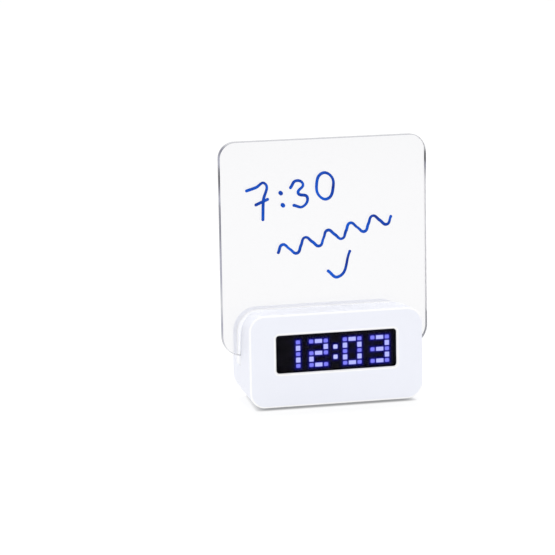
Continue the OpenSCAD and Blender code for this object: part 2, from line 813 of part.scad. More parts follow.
module buzzer() {
    color([0.1, 0.1, 0.1]) difference() {
        bar(-leg_mid_x, buzzer_z, key_pcb_y1, in_rear - buzzer_gap, buzzer_d);
        bar(-leg_mid_x, buzzer_z, in_rear - buzzer_gap - buzzer_port_l, in_rear, buzzer_port_d);
    }
}

module key_board_screws() {
    color("silver") for (p = key_posts) screw(p[0], p[1], key_pcb_y0, 1);
}

module battery_box() {
    color([0.2, 0.2, 0.2]) difference() {
        block([-box_w / 2, bay_y0 - box_wall, bay_z0 - box_wall], [box_w / 2, in_rear, bay_z1 + box_wall]);
        block([-bay_w / 2, bay_y0, bay_z0], [bay_w / 2, in_rear + over, bay_z1]);
    }
}

// Nub of a cell, contact plates and leaf springs
nub_d = 3.8;
nub_l = 1;
dimple_d = 3;
dimple_l = 0.6;
pad = cell_d * 0.8;
tongue = cell_d * 0.6;
leaf_half = 3.6;
leaf_tip = 0.6;
leaf_t = 0.6;
leaf_reach = 2 * (contact_room - contact_t) - dimple_l - press_gap;

function battery_z(i) = bay_z0 + cell_play + cell_d / 2 + i * bay_pitch;
// The nub of every second cell points the other way
function nub_side(i) = i % 2 == 0 ? 1 : -1;

// A round bar along X from x0 to x1, turned round for cells that point the other way
module cell_bar(i, x0, x1, d) {
    s = nub_side(i);
    translate([s * (s > 0 ? x0 : x1), battery_y, battery_z(i)])
        rotate([0, 90, 0]) cylinder(d = d, h = x1 - x0);
}

module battery_cells() {
    nub_x = bay_w / 2 - contact_t - dimple_l;
    color("steelblue") for (i = [0:cell_count - 1]) {
        cell_bar(i, nub_x - cell_l, nub_x - nub_l, cell_d);
        cell_bar(i, nub_x - nub_l, nub_x, nub_d);
    }
}

// Contact plate on the end wall of the bay, at its + end for side 1 and its - end for side -1
module contact_base(i, side) {
    x = side * nub_side(i) * (bay_w - contact_t) / 2;
    translate([x, battery_y, battery_z(i)]) cube([contact_t, pad, pad], center = true);
}

module battery_plates() {
    color("silver") for (i = [0:cell_count - 1]) {
        contact_base(i, 1);
        cell_bar(i, bay_w / 2 - contact_t - dimple_l, bay_w / 2 - contact_t, dimple_d);
    }
}

module battery_leaf_springs() {
    color("silver") for (i = [0:cell_count - 1]) {
        contact_base(i, -1);
        s = nub_side(i);
        translate([-s * (bay_w / 2 - contact_t), battery_y, battery_z(i)]) mirror([s < 0 ? 1 : 0, 0, 0])
            rotate([90, 0, 0]) translate([0, 0, -tongue / 2]) linear_extrude(tongue)
                polygon([[0, -leaf_half], [leaf_reach, -leaf_tip], [leaf_reach, leaf_tip], [0, leaf_half],
                    [0, leaf_half - leaf_t], [leaf_reach - leaf_t, leaf_tip / 2],
                    [leaf_reach - leaf_t, -leaf_tip / 2], [0, leaf_t - leaf_half]]);
    }
}

// Finger grip in the battery door
grip_d = 14;
grip_w = 16;
grip_depth = 0.9;
grip_drop = 5;

module battery_door() {
    color("white") difference() {
        plate(0, door_z, in_rear, y_rear, door_w, door_h, door_corner_r);
        translate([0, y_rear + grip_d / 2 - grip_depth, door_z + door_h / 2 - grip_drop])
            rotate([0, 90, 0]) cylinder(d = grip_d, h = grip_w, center = true);
    }
}

// Ribbon and leads inside the case
ribbon_gap = 0.3;
lead_inset = 2;
light_lead_inset = 6;
light_lead_pitch = 3;
light_lead_y = slot_y0 + 1;
ribbon_x = -(leg_x0 + ribbon_w / 2 + ribbon_gap);
ribbon_z = (display_pcb_z0 + cradle_z0) / 2;

module display_ribbon() {
    color("lightgray")
        block([ribbon_x - ribbon_w / 2, display_pcb_y1, ribbon_z - ribbon_t / 2],
            [ribbon_x + ribbon_w / 2, key_pcb_y0, ribbon_z + ribbon_t / 2]);
}

module battery_leads() {
    color("firebrick") for (s = [-1, 1])
        bar(s * (bay_w / 2 - lead_inset), ribbon_z, display_pcb_y1, bay_y0 - box_wall, lead_d);
}

module light_leads() {
    color("black") for (s = [0, 1]) {
        x = strip_w / 2 - light_lead_inset - light_lead_pitch * s;
        translate([x, light_lead_y, ribbon_z]) cylinder(d = lead_d, h = strip_z0 - ribbon_z);
        translate([x, light_lead_y, ribbon_z]) sphere(d = lead_d);
        bar(x, ribbon_z, display_pcb_y1, light_lead_y, lead_d);
    }
}

module case_screws() {
    color("silver") for (s = [-1, 1]) {
        screw(s * case_x, case_low_z, low_seat_y, -1);
        screw(s * case_x, case_high_z, high_seat_y, -1);
    }
}

// Feet, sunk a little into the underside
foot_seat = 0.8;
foot_side_gap = 2;
foot_end_gap = 7.5;
foot_x = body_w / 2 - max(front_corner_r, rear_corner_r) - foot_d / 2 - foot_side_gap;
foot_y = body_d / 2 - foot_d / 2 - foot_end_gap;

module foot_seats(way) {
    for (s = [-1, 1]) translate([s * foot_x, way * foot_y, z_low - over])
        cylinder(d = foot_d, h = foot_seat + over);
}

module rubber_feet() {
    color("dimgray") for (s = [-1, 1], t = [-1, 1]) translate([s * foot_x, t * foot_y, 0])
        cylinder(d = foot_d, h = foot_h + foot_seat);
}

front_shell();
rear_shell();
display_window();
window_tape();
display_housing();
lit_edge_cells();
lit_corner_cells();
colon_dots();
unlit_cells();
display_board();
clock_chip();
quartz_crystal();
display_board_screws();
board_cradle();
cradle_screws();
light_strip();
light_strip_leds();
memo_board();
key_board();
key_switches();
mode_key();
set_key();
up_key();
down_key();
alarm_key();
light_switch_body();
light_switch_knob();
power_inlet();
inlet_pin();
buzzer();
key_board_screws();
battery_box();
battery_cells();
battery_plates();
battery_leaf_springs();
battery_door();
display_ribbon();
battery_leads();
light_leads();
case_screws();
rubber_feet();
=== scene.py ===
# %% [markdown]
# # A desk alarm clock with a clear memo board
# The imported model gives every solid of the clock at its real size. This lesson dresses it:
# smooth shells, a polished clear board, a smoked window with lit digits, and finishes for the rest.
# Sizes are worked in millimetres, and each piece is scaled to metres when it is done.

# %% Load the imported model
import math

import bmesh
import bpy
from mathutils import Matrix, Vector


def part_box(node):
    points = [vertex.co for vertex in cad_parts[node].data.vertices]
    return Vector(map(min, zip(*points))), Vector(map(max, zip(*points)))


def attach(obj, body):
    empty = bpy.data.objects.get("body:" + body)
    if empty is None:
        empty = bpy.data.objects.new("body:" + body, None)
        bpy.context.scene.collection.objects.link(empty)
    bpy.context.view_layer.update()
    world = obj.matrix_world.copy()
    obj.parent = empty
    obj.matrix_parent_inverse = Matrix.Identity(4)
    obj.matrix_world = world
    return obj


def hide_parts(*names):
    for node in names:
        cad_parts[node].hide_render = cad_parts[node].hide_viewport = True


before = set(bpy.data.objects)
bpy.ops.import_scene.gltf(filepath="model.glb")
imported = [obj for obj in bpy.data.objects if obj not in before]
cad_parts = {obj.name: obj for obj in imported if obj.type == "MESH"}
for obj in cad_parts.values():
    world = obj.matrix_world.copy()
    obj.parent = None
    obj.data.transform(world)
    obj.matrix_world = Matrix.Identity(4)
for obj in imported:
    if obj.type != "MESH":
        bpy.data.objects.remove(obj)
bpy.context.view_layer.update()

# %% [markdown]
# ## Driving sizes
# A dressed piece has to lie where its solid lies. The outer places are therefore read from the solids,
# and only what a box can't tell, such as a corner radius, is written as a number.

# %% Driving sizes
mm = 0.001
slot_gap = 0.1


def span(node):
    """Lowest and highest corner of a solid, in millimetres."""
    low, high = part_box(node)
    return Vector(low) / mm, Vector(high) / mm


def middle(node):
    """Where the middle of a solid lies, as x and z."""
    low, high = span(node)
    return (low.x + high.x) / 2, (low.z + high.z) / 2


def face_size(node):
    """Width and height of a solid, along x and z."""
    low, high = span(node)
    return high.x - low.x, high.z - low.z


front_low, front_high = span("front_shell")
rear_high = span("rear_shell")[1]
board_low, board_high = span("memo_board")
half_w = front_high.x
y_front = front_low.y
y_rear = rear_high.y
y_parting = front_high.y
z_low = front_low.z
z_front_top = front_high.z
z_rear_top = rear_high.z
slot_front = board_low.y - slot_gap
slot_rear = board_high.y + slot_gap
print(f"body {2 * half_w:.1f} x {y_rear - y_front:.1f} x {z_front_top:.1f} mm")

# %% [markdown]
# ## Camera
# A product photograph is taken with a long lens from some way off, so its lines stay nearly parallel.
# This camera stands to the left and a little above. Two angles give its level axes, and a third
# turns them a little about the line of sight, so each angle can be changed by itself.

# %% Camera
azimuth = math.radians(13.77)
elevation = math.radians(9.91)
roll = math.radians(-1.0)
distance = 1474.0
lens = 172.96
sensor = 36
far_clip = 20
aim = Vector((-33.36, y_front, 73.78 + z_low))

away = Vector((
    -math.sin(azimuth) * math.cos(elevation),
    -math.cos(azimuth) * math.cos(elevation),
    math.sin(elevation),
))
level = Vector((math.cos(azimuth), -math.sin(azimuth), 0))
upright = away.cross(level)
right = math.cos(roll) * level + math.sin(roll) * upright
up = math.cos(roll) * upright - math.sin(roll) * level

camera = bpy.data.objects.new("camera", bpy.data.cameras.new("camera"))
camera.data.lens = lens
camera.data.sensor_width = sensor
camera.data.clip_end = far_clip
turn = Matrix((right, up, away)).transposed().to_4x4()
camera.matrix_world = Matrix.Translation((aim + away * distance) * mm) @ turn
bpy.context.collection.objects.link(camera)
bpy.context.scene.camera = camera
bpy.context.scene.view_settings.view_transform = "Standard"
print("camera at", [round(c, 3) for c in camera.matrix_world.translation])

# %% [markdown]
# ## Floor finish
# The photograph has a plain white ground with a thin contact shadow. A floor could be lit until it is
# white, but that would burn out the white case as well. Here the floor glows by itself, like a light
# table, and its diffuse share on top of the glow keeps the shadow. The glow fades within a few
# millimetres of the clock, so the line where the clock meets the floor stays dark.

# %% Floor finish
floor_glow = 0.72
floor_share = 0.3
contact_glow = 0.1
contact_reach = 0.003


def preset(node, values):
    """Fixed values on a node's own sockets."""
    for socket, value in values.items():
        node.inputs[socket].default_value = value


def between(tree, fac, low, high, from_low=0.3, from_high=0.7):
    """Spreads a value from one range to another."""
    node = tree.nodes.new("ShaderNodeMapRange")
    preset(node, {"From Min": from_low, "From Max": from_high, "To Min": low, "To Max": high})
    tree.links.new(fac, node.inputs["Value"])
    return node.outputs["Result"]


def floor_finish():
    mat = bpy.data.materials.new("pale floor")
    mat.use_nodes = True
    tree = mat.node_tree
    tree.nodes.remove(tree.nodes["Principled BSDF"])
    matte = tree.nodes.new("ShaderNodeBsdfDiffuse")
    preset(matte, {"Color": (floor_share, floor_share, floor_share, 1)})
    nearby = tree.nodes.new("ShaderNodeAmbientOcclusion")
    preset(nearby, {"Distance": contact_reach})
    glow = tree.nodes.new("ShaderNodeEmission")
    fade = between(tree, nearby.outputs["AO"], contact_glow, floor_glow, 0.0, 1.0)
    tree.links.new(fade, glow.inputs["Strength"])
    both = tree.nodes.new("ShaderNodeAddShader")
    tree.links.new(matte.outputs[0], both.inputs[0])
    tree.links.new(glow.outputs[0], both.inputs[1])
    tree.links.new(both.outputs[0], tree.nodes["Material Output"].inputs["Surface"])
    return mat


pale_floor = floor_finish()
print("floor finish with", len(pale_floor.node_tree.nodes), "nodes")

# %% [markdown]
# ## Floor and background
# The floor is one flat face, wide enough to fill the picture. The world is plain white, a little under
# full strength, which gives even light from all sides and a white background in gloss and through
# clear plastic. A backdrop with a curved foot would do the same with more geometry.

# %% Floor and background
floor_half = 6.0
sky_light = 0.95

bm = bmesh.new()
bmesh.ops.create_grid(bm, x_segments=1, y_segments=1, size=floor_half)
floor_mesh = bpy.data.meshes.new("floor")
bm.to_mesh(floor_mesh)
bm.free()
floor_mesh.materials.append(pale_floor)
floor = bpy.data.objects.new("floor", floor_mesh)
bpy.context.collection.objects.link(floor)

world = bpy.data.worlds.new("white studio")
world.use_nodes = True
bpy.context.scene.world = world
preset(world.node_tree.nodes["Background"], {"Color": (1, 1, 1, 1), "Strength": sky_light})
print("floor half width", floor_half, "m")

# %% [markdown]
# ## Lamps
# Two soft boxes, one above and a little behind and a weak one at the front left, give the even light
# some direction. Large lamps keep the soft, almost shadowless look of a packshot.

# %% Lamps
# name, place, size, power in watts, colour
lamps = [
    ("top_box", (0.1, 0.7, 2.0), 0.6, 11.0, (1.0, 0.985, 0.93)),
    ("front_box", (-0.9, -1.4, 0.5), 0.4, 0.6, (0.94, 0.97, 1.0)),
]
lamp_target = Vector((0, 0, 0.06))
for name, place, size, power, tint in lamps:
    lamp = bpy.data.lights.new(name, "AREA")
    lamp.size = size
    lamp.energy = power
    lamp.color = tint
    obj = bpy.data.objects.new(name, lamp)
    obj.location = place
    obj.rotation_euler = (lamp_target - Vector(place)).to_track_quat("-Z", "Y").to_euler()
    bpy.context.collection.objects.link(obj)
print(len(lamps), "soft boxes")

# %% [markdown]
# ## Node helpers
# A finish is a small node tree on the Principled shader. Noise on Object coordinates is in metres,
# so a scale of 1000 gives about one bump per millimetre. Most finishes get some uneven colour,
# uneven gloss and a grain, because a single flat colour looks like a toy. These helpers add one
# such layer each, so that a finish reads as a short list.

# %% Node helpers


def new_finish(name, fixed=None):
    """A new material, its node tree and its shader with the fixed values on its sockets."""
    mat = bpy.data.materials.new(name)
    mat.use_nodes = True
    shader = mat.node_tree.nodes["Principled BSDF"]
    preset(shader, fixed or {})
    return mat, mat.node_tree, shader


def object_place(tree, stretch=(1, 1, 1)):
    coords = tree.nodes.new("ShaderNodeTexCoord")
    mapping = tree.nodes.new("ShaderNodeMapping")
    preset(mapping, {"Scale": stretch})
    tree.links.new(coords.outputs["Object"], mapping.inputs["Vector"])
    return mapping.outputs["Vector"]


def noise(tree, scale, detail=3.0, stretch=(1, 1, 1)):
    tex = tree.nodes.new("ShaderNodeTexNoise")
    preset(tex, {"Scale": scale, "Detail": detail})
    tree.links.new(object_place(tree, stretch), tex.inputs["Vector"])
    return tex.outputs["Fac"]


def stripes(tree, direction, scale):
    tex = tree.nodes.new("ShaderNodeTexWave")
    tex.wave_type = "BANDS"
    tex.bands_direction = direction
    preset(tex, {"Scale": scale})
    tree.links.new(object_place(tree), tex.inputs["Vector"])
    return tex.outputs["Fac"]


def tones(tree, fac, stops):
    """A colour ramp: stops are pairs of a place from 0 to 1 and a colour."""
    ramp = tree.nodes.new("ShaderNodeValToRGB")
    while len(ramp.color_ramp.elements) < len(stops):
        ramp.color_ramp.elements.new(0.5)
    for element, (place, colour) in zip(ramp.color_ramp.elements, stops):
        element.position = place
        element.color = (*colour, 1)
    tree.links.new(fac, ramp.inputs["Fac"])
    return ramp.outputs["Color"]


def colour_by(tree, shader, fac, *stops):
    """Colour of the surface from a ramp."""
    tree.links.new(tones(tree, fac, stops), shader.inputs["Base Color"])


def gloss_by(tree, shader, fac, low, high, *ends):
    """Roughness of the surface between low and high."""
    tree.links.new(between(tree, fac, low, high, *ends), shader.inputs["Roughness"])


def grain(tree, shader, fac, depth, strength=0.5):
    """A bump of that depth in millimetres."""
    node = tree.nodes.new("ShaderNodeBump")
    preset(node, {"Strength": strength, "Distance": depth * mm})
    tree.links.new(fac, node.inputs["Height"])
    tree.links.new(node.outputs["Normal"], shader.inputs["Normal"])


print("helpers for noise, stripes, tones, gloss and grain ready")

# %% [markdown]
# ## Moulded plastics
# Moulded plastic is never quite even: its colour is faintly mottled, its gloss varies, and the mould
# leaves a fine pebble. One function with a few numbers makes all the plastics and the rubber,
# so they look like one family.

# %% Moulded plastics
blotch_scale = 45.0
gloss_scale = 160.0
gloss_sway = 0.15


def shaded(colour, share):
    return tuple(c * share for c in colour)


def moulded(name, colour, rough, pebble=900.0, depth=0.01, mottle=0.985, shine=0.5):
    mat, tree, shader = new_finish(name, {"Specular IOR Level": shine})
    colour_by(tree, shader, noise(tree, blotch_scale), (0.35, shaded(colour, mottle)), (0.65, colour))
    gloss_by(tree, shader, noise(tree, gloss_scale), rough * (1 - gloss_sway), rough * (1 + gloss_sway))
    grain(tree, shader, noise(tree, pebble, 2.0), depth)
    return mat


key_grey = moulded("key grey", (0.70, 0.71, 0.75), 0.45)
cradle_white = moulded("cradle white", (0.88, 0.89, 0.93), 0.4)
black_plastic = moulded("black plastic", (0.022, 0.022, 0.026), 0.5, mottle=0.8)
foot_rubber = moulded("foot rubber", (0.045, 0.045, 0.05), 0.8, pebble=1400.0, depth=0.03, mottle=0.8)
resin = moulded("diode resin", (0.84, 0.78, 0.48), 0.2)
red_sleeve = moulded("red sleeve", (0.42, 0.03, 0.025), 0.4)
foam_tape = moulded("foam tape", (0.012, 0.012, 0.013), 0.9, pebble=2500.0, depth=0.05, mottle=0.7)
print("plastics ready, the last with", len(foam_tape.node_tree.nodes), "nodes")

# %% [markdown]
# ## White case finish
# The case is white plastic with a cool cast and a satin surface, so the soft boxes give broad, faint
# highlights and no mirror images. The front edge and the slant round the window get a glossier finish
# with a whiter colour, which is a painted highlight. The rear lip of the slot lies behind the clear
# board, which carries light down to it. Tracing that light takes many samples, so a whiter colour and
# a faint emission stand for it as painted light.

# %% White case finish
case_pebble = 1500.0
case_depth = 0.001
lip_glow = 0.55
lip_reach = 0.006


def painted_lip_light_finish():
    """Painted light: the rear lip is whiter than the case and glows most where little other light reaches
    it.
    """
    mat = moulded("lip painted light", (0.95, 0.955, 0.97), 0.2, case_pebble, case_depth, 0.995, shine=0.25)
    tree = mat.node_tree
    shader = tree.nodes["Principled BSDF"]
    open_sky = tree.nodes.new("ShaderNodeAmbientOcclusion")
    preset(open_sky, {"Distance": lip_reach})
    glow = between(tree, open_sky.outputs["AO"], lip_glow, 0.0, 0.3, 1.0)
    preset(shader, {"Emission Color": (0.90, 0.93, 1.0, 1)})
    tree.links.new(glow, shader.inputs["Emission Strength"])
    return mat


# The rear lip's finish: a whiter colour and a glow, both painted light.
lip_painted_light = painted_lip_light_finish()
case_white = moulded("case white", (0.865, 0.88, 0.95), 0.45, case_pebble, case_depth, 0.992, shine=0.1)
# The front rim's finish is glossier, and its whiter colour is a painted highlight.
case_rim_painted_highlight = moulded("case rim painted highlight", (0.985, 0.985, 0.99), 0.12, case_pebble, case_depth, 0.995)
print("white finishes:", case_white.name, case_rim_painted_highlight.name, lip_painted_light.name, sep=", ")

# %% [markdown]
# ## Inner finishes
# Circuit boards, the ribbon, the contacts and the battery jackets are hidden most of the time, but the
# memo board lifts out and the door comes off, so they are dressed as well: pale tracks under green
# resist, drawn lines on plated steel, a striped ribbon and faint bands on the cells' jackets.

# %% Inner finishes


def plated(name, colour, stretch):
    """Bright plated metal with fine drawn lines."""
    mat, tree, shader = new_finish(name, {"Metallic": 1.0})
    lines = noise(tree, 900.0, 2.0, stretch)
    colour_by(tree, shader, lines, (0.3, shaded(colour, 0.8)), (0.7, colour))
    gloss_by(tree, shader, lines, 0.2, 0.38)
    grain(tree, shader, lines, 0.01, 0.3)
    return mat


def circuit_finish():
    mat, tree, shader = new_finish("circuit board")
    tracks = tree.nodes.new("ShaderNodeTexBrick")
    preset(tracks, {
        "Scale": 160.0,
        "Color1": (0.012, 0.085, 0.032, 1),
        "Color2": (0.016, 0.105, 0.042, 1),
        "Mortar": (0.03, 0.19, 0.075, 1),
        "Mortar Size": 0.06,
    })
    turned = tree.nodes.new("ShaderNodeMapping")
    preset(turned, {"Rotation": (math.radians(90), 0, 0)})
    tree.links.new(object_place(tree), turned.inputs["Vector"])
    tree.links.new(turned.outputs["Vector"], tracks.inputs["Vector"])
    tree.links.new(tracks.outputs["Color"], shader.inputs["Base Color"])
    gloss_by(tree, shader, noise(tree, 220.0), 0.28, 0.45)
    grain(tree, shader, tracks.outputs["Fac"], 0.03)
    return mat


def striped_finish(name, dark, light, scale, rough):
    mat, tree, shader = new_finish(name)
    bands = stripes(tree, "X", scale)
    colour_by(tree, shader, bands, (0.42, dark), (0.58, light))
    gloss_by(tree, shader, noise(tree, 200.0), rough * 0.8, rough * 1.2)
    grain(tree, shader, bands, 0.05, 0.3)
    return mat


plated_steel = plated("plated steel", (0.72, 0.72, 0.74), (1, 0.08, 1))
circuit_green = circuit_finish()
ribbon_grey = striped_finish("ribbon grey", (0.42, 0.42, 0.43), (0.6, 0.6, 0.61), 160.0, 0.5)
cell_blue = striped_finish("cell jacket", (0.03, 0.06, 0.16), (0.05, 0.09, 0.22), 20.0, 0.25)
print("inner finishes:", plated_steel.name, circuit_green.name, ribbon_grey.name, cell_blue.name, sep=", ")

# %% [markdown]
# ## Clear acrylic
# The board is clear cast acrylic. Its faces carry faint wipe marks, which show as uneven gloss.
# Light from a lamp goes straight through, so shadow rays see a transparent shader instead of glass.
# Glass alone would give a dark shadow, because plain shadow rays don't bend.

# %% Clear face
acrylic_ior = 1.49


def lets_lamps_through(mat, tint):
    tree = mat.node_tree
    shader = tree.nodes["Principled BSDF"]
    path = tree.nodes.new("ShaderNodeLightPath")
    clear = tree.nodes.new("ShaderNodeBsdfTransparent")
    preset(clear, {"Color": (*tint, 1)})
    mix = tree.nodes.new("ShaderNodeMixShader")
    tree.links.new(path.outputs["Is Shadow Ray"], mix.inputs["Fac"])
    tree.links.new(shader.outputs[0], mix.inputs[1])
    tree.links.new(clear.outputs[0], mix.inputs[2])
    tree.links.new(mix.outputs[0], tree.nodes["Material Output"].inputs["Surface"])


def acrylic_face_finish():
    mat, tree, shader = new_finish("clear acrylic", {
        "Base Color": (0.88, 0.88, 0.893, 1),
        "Transmission Weight": 1.0,
        "IOR": acrylic_ior,
    })
    wipes = noise(tree, 30.0, 4.0, (1, 1, 0.35))
    gloss_by(tree, shader, wipes, 0.0, 0.035, 0.45, 0.75)
    lets_lamps_through(mat, (0.95, 0.95, 0.96))
    return mat


acrylic_face = acrylic_face_finish()
print("clear face with", len(acrylic_face.node_tree.nodes), "nodes")

# %% [markdown]
# ## Edge of the acrylic
# A polished edge of clear plastic looks pale or nearly black, depending on what it reflects from inside
# the sheet. Ray tracing would need the whole studio for that. Here those reflections are painted into
# the edge's colour by height, with one ramp for each side and a pale top.

# %% Clear edge
# Tones of the painted reflections on the edge of the acrylic
bright = (0.95, 0.95, 0.97)
pale = (0.56, 0.565, 0.60)
lilac = (0.33, 0.335, 0.42)
dusk = (0.18, 0.18, 0.235)
plum = (0.085, 0.085, 0.115)
dark = (0.03, 0.03, 0.042)
right_painted_reflections = [
    (0.0, bright), (0.03, lilac), (0.06, pale), (0.15, pale), (0.175, bright), (0.76, bright),
    (0.82, pale), (0.85, lilac), (0.88, dark), (0.905, dark), (0.935, bright),
]
left_painted_reflections = [
    (0.0, bright), (0.06, pale), (0.15, lilac), (0.24, pale), (0.38, lilac), (0.47, lilac),
    (0.58, dusk), (0.70, dusk), (0.727, lilac), (0.75, lilac), (0.78, dusk), (0.80, plum),
    (0.842, dark), (0.871, plum), (0.90, lilac), (0.93, lilac), (0.957, dusk),
]
top_painted_reflection_mask = [(0.97, (0, 0, 0)), (0.992, (1, 1, 1))]


def colour_mix(tree, fac, first):
    """A mix that starts from the first colour. Its sockets 6 and 7 are the two colours."""
    node = tree.nodes.new("ShaderNodeMix")
    node.data_type = "RGBA"
    tree.links.new(fac, node.inputs["Factor"])
    tree.links.new(first, node.inputs[6])
    return node


def painted_reflection_edge_finish():
    """Painted reflections: pale along the top, dark on the left, and bright on the right with a dark
    stretch near the top.
    """
    mat, tree, shader = new_finish("acrylic edge painted reflections", {
        "Transmission Weight": 0.1,
        "Specular IOR Level": 0.1,
        "IOR": acrylic_ior,
    })
    split = tree.nodes.new("ShaderNodeSeparateXYZ")
    tree.links.new(object_place(tree), split.inputs["Vector"])
    height = between(tree, split.outputs["Z"], 0.0, 1.0, board_low.z * mm, board_high.z * mm)
    on_right = tree.nodes.new("ShaderNodeMath")
    on_right.operation = "GREATER_THAN"
    on_right.inputs[1].default_value = 0.0
    tree.links.new(split.outputs["X"], on_right.inputs[0])
    sides = colour_mix(tree, on_right.outputs[0], tones(tree, height, left_painted_reflections))
    tree.links.new(tones(tree, height, right_painted_reflections), sides.inputs[7])
    whole = colour_mix(tree, tones(tree, height, top_painted_reflection_mask), sides.outputs[2])
    whole.inputs[7].default_value = (*pale, 1)
    tree.links.new(whole.outputs[2], shader.inputs["Base Color"])
    gloss_by(tree, shader, noise(tree, 260.0), 0.1, 0.3)
    lets_lamps_through(mat, (0.85, 0.85, 0.88))
    return mat


acrylic_edge_painted_reflections = painted_reflection_edge_finish()
print(len(left_painted_reflections), "tones on the left edge,", len(right_painted_reflections), "on the right edge")

# %% [markdown]
# ## Smoked window
# The window is dark tinted acrylic with a matt coat on its face. Only the lit cells behind it show.
# The low refraction number stands for that coat: it keeps white reflections off the black.

# %% Smoked finish


def smoked_finish():
    mat, tree, shader = new_finish("smoked window", {
        "Base Color": (0.2, 0.19, 0.25, 1),
        "Transmission Weight": 1.0,
        "IOR": 1.12,
    })
    gloss_by(tree, shader, noise(tree, 700.0, 2.0), 0.0, 0.02, 0.5, 0.8)
    return mat


smoked = smoked_finish()
print("smoked window ready")

# %% [markdown]
# ## Rings
# Most pieces here are rounded plates and lofts. A loft starts from rings: four corners and two waist
# points make one face, its corners are bevelled into arcs, and the face is taken away so that the ring
# stays. Rings with the same number of points bridge cleanly into quads.

# %% Rings
corner_steps = 14


def ring(bm, y, half, low, high, roll_in, r_low, r_high, waist):
    """A closed ring across Y, with its upper corners drawn in by roll_in."""
    before = set(bm.edges)
    corners = [
        (-half, low), (half, low), (half, waist),
        (half - roll_in, high), (roll_in - half, high), (-half, waist),
    ]
    verts = [bm.verts.new((x, y, z)) for x, z in corners]
    bm.faces.new(verts)
    for picked, radius in ((verts[:2], r_low), (verts[3:5], r_high)):
        bmesh.ops.bevel(
            bm, geom=picked, offset=radius, offset_type="OFFSET", affect="VERTICES",
            segments=corner_steps, profile=0.5, material=-1,
        )
    edges = [e for e in bm.edges if e not in before]
    faces = list({f for e in edges for f in e.link_faces})
    bmesh.ops.delete(bm, geom=faces, context="FACES_ONLY")
    return edges


def plate_ring(bm, x, z, y, w, h, r, r_low=None):
    """A ring of a plain rounded rectangle whose middle is at x, z."""
    edges = ring(bm, y, w / 2, z - h / 2, z + h / 2, 0, r if r_low is None else r_low, r, z)
    bmesh.ops.translate(bm, vec=(x, 0, 0), verts=list({v for e in edges for v in e.verts}))
    return edges


def bridge(bm, rings):
    """Skins over the rings in turn. A ring in the same plane as the last one steps aside meanwhile."""
    aside = Vector((0, 1, 0))
    for near, far in zip(rings, rings[1:]):
        verts = list({v for e in far for v in e.verts})
        level_rings = abs(near[0].verts[0].co.y - verts[0].co.y) < 1e-6
        if level_rings:
            bmesh.ops.translate(bm, vec=aside, verts=verts)
        bmesh.ops.bridge_loops(bm, edges=near + far)
        if level_rings:
            bmesh.ops.translate(bm, vec=-aside, verts=verts)


def cap(bm, *rings):
    for edges in rings:
        bmesh.ops.edgeloop_fill(bm, edges=edges)


trial = bmesh.new()
print("a ring has", len(plate_ring(trial, 0, 0, 0, 20, 10, 2)), "edges")
trial.free()

# %% [markdown]
# ## Plates, bars and spun shapes
# A rounded plate is a stack of rings with a cap at each end, and its rims are rounded by rings that
# step in along a quarter circle. A round bar comes from the cone operator with two equal radii.
# Anything round with a profile is spun, which needs the profile alone.

# %% Plates, bars and spun shapes
quarter = 90
spin_steps = 48


def rounded_plate(bm, x, z, y0, y1, w, h, r, edge0=0.0, edge1=0.0, steps=4, r_low=None):
    """A rounded plate from y0 to y1 whose rims are rounded by edge0 and edge1."""
    foot = r if r_low is None else r_low
    rings = []
    for y, way, edge in ((y0, 1, edge0), (y1, -1, edge1)):
        turns = [quarter * i / steps for i in range(steps + 1)] if edge else [quarter]
        rim = []
        for angle in turns:
            back = y + way * edge * (1 - math.cos(math.radians(angle)))
            inset = edge * (1 - math.sin(math.radians(angle)))
            inner_w = w - 2 * inset
            inner_h = h - 2 * inset
            rim.append(plate_ring(bm, x, z, back, inner_w, inner_h, r - inset, foot - inset))
        rings.extend(rim if way > 0 else reversed(rim))
    bridge(bm, rings)
    cap(bm, rings[0], rings[-1])


def bar(bm, x, z, y0, y1, radius, segments=32):
    """A closed round bar along Y."""
    place = Matrix.Translation((x, (y0 + y1) / 2, z)) @ Matrix.Rotation(math.radians(90), 4, "X")
    bmesh.ops.create_cone(
        bm, cap_ends=True, cap_tris=False, segments=segments, radius1=radius, radius2=radius,
        depth=abs(y1 - y0), matrix=place,
    )


def spun(bm, profile, centre, axis, closed=False):
    """A full turn of a profile round an axis through centre."""
    verts = [bm.verts.new(point) for point in profile]
    nexts = verts[1:] + verts[:1] if closed else verts[1:]
    edges = [bm.edges.new(pair) for pair in zip(verts, nexts)]
    bmesh.ops.spin(
        bm, geom=verts + edges, cent=centre, axis=axis, angle=math.radians(360),
        steps=spin_steps, use_merge=True, use_duplicate=False,
    )


trial = bmesh.new()
rounded_plate(trial, 0, 0, 0, 2, 20, 10, 2)
print("a rounded plate without eased rims has", len(trial.faces), "faces")
trial.free()

# %% [markdown]
# ## From mesh to piece
# Each mesh goes through the same last steps: merge doubles, point the faces outwards, scale to metres,
# shade smooth with crisp edges kept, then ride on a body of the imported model.

# %% Piece helpers
crisp_angle = math.radians(34)
double_gap = 0.0005


def mark_crisp(bm):
    """Shades smooth, apart from edges that are sharper than the crisp angle."""
    for face in bm.faces:
        face.smooth = True
    for edge in bm.edges:
        edge.smooth = not (len(edge.link_faces) == 2 and edge.calc_face_angle(0) > crisp_angle)


def to_object(name, bm):
    bmesh.ops.remove_doubles(bm, verts=bm.verts, dist=double_gap)
    bmesh.ops.recalc_face_normals(bm, faces=bm.faces)
    bmesh.ops.scale(bm, vec=(mm, mm, mm), verts=bm.verts)
    mark_crisp(bm)
    mesh = bpy.data.meshes.new(name)
    bm.to_mesh(mesh)
    bm.free()
    obj = bpy.data.objects.new(name, mesh)
    bpy.context.collection.objects.link(obj)
    return obj


def even_shading(obj):
    """Large flat faces keep a flat look beside small rounded ones."""
    mod = obj.modifiers.new("even shading", "WEIGHTED_NORMAL")
    mod.keep_sharp = True


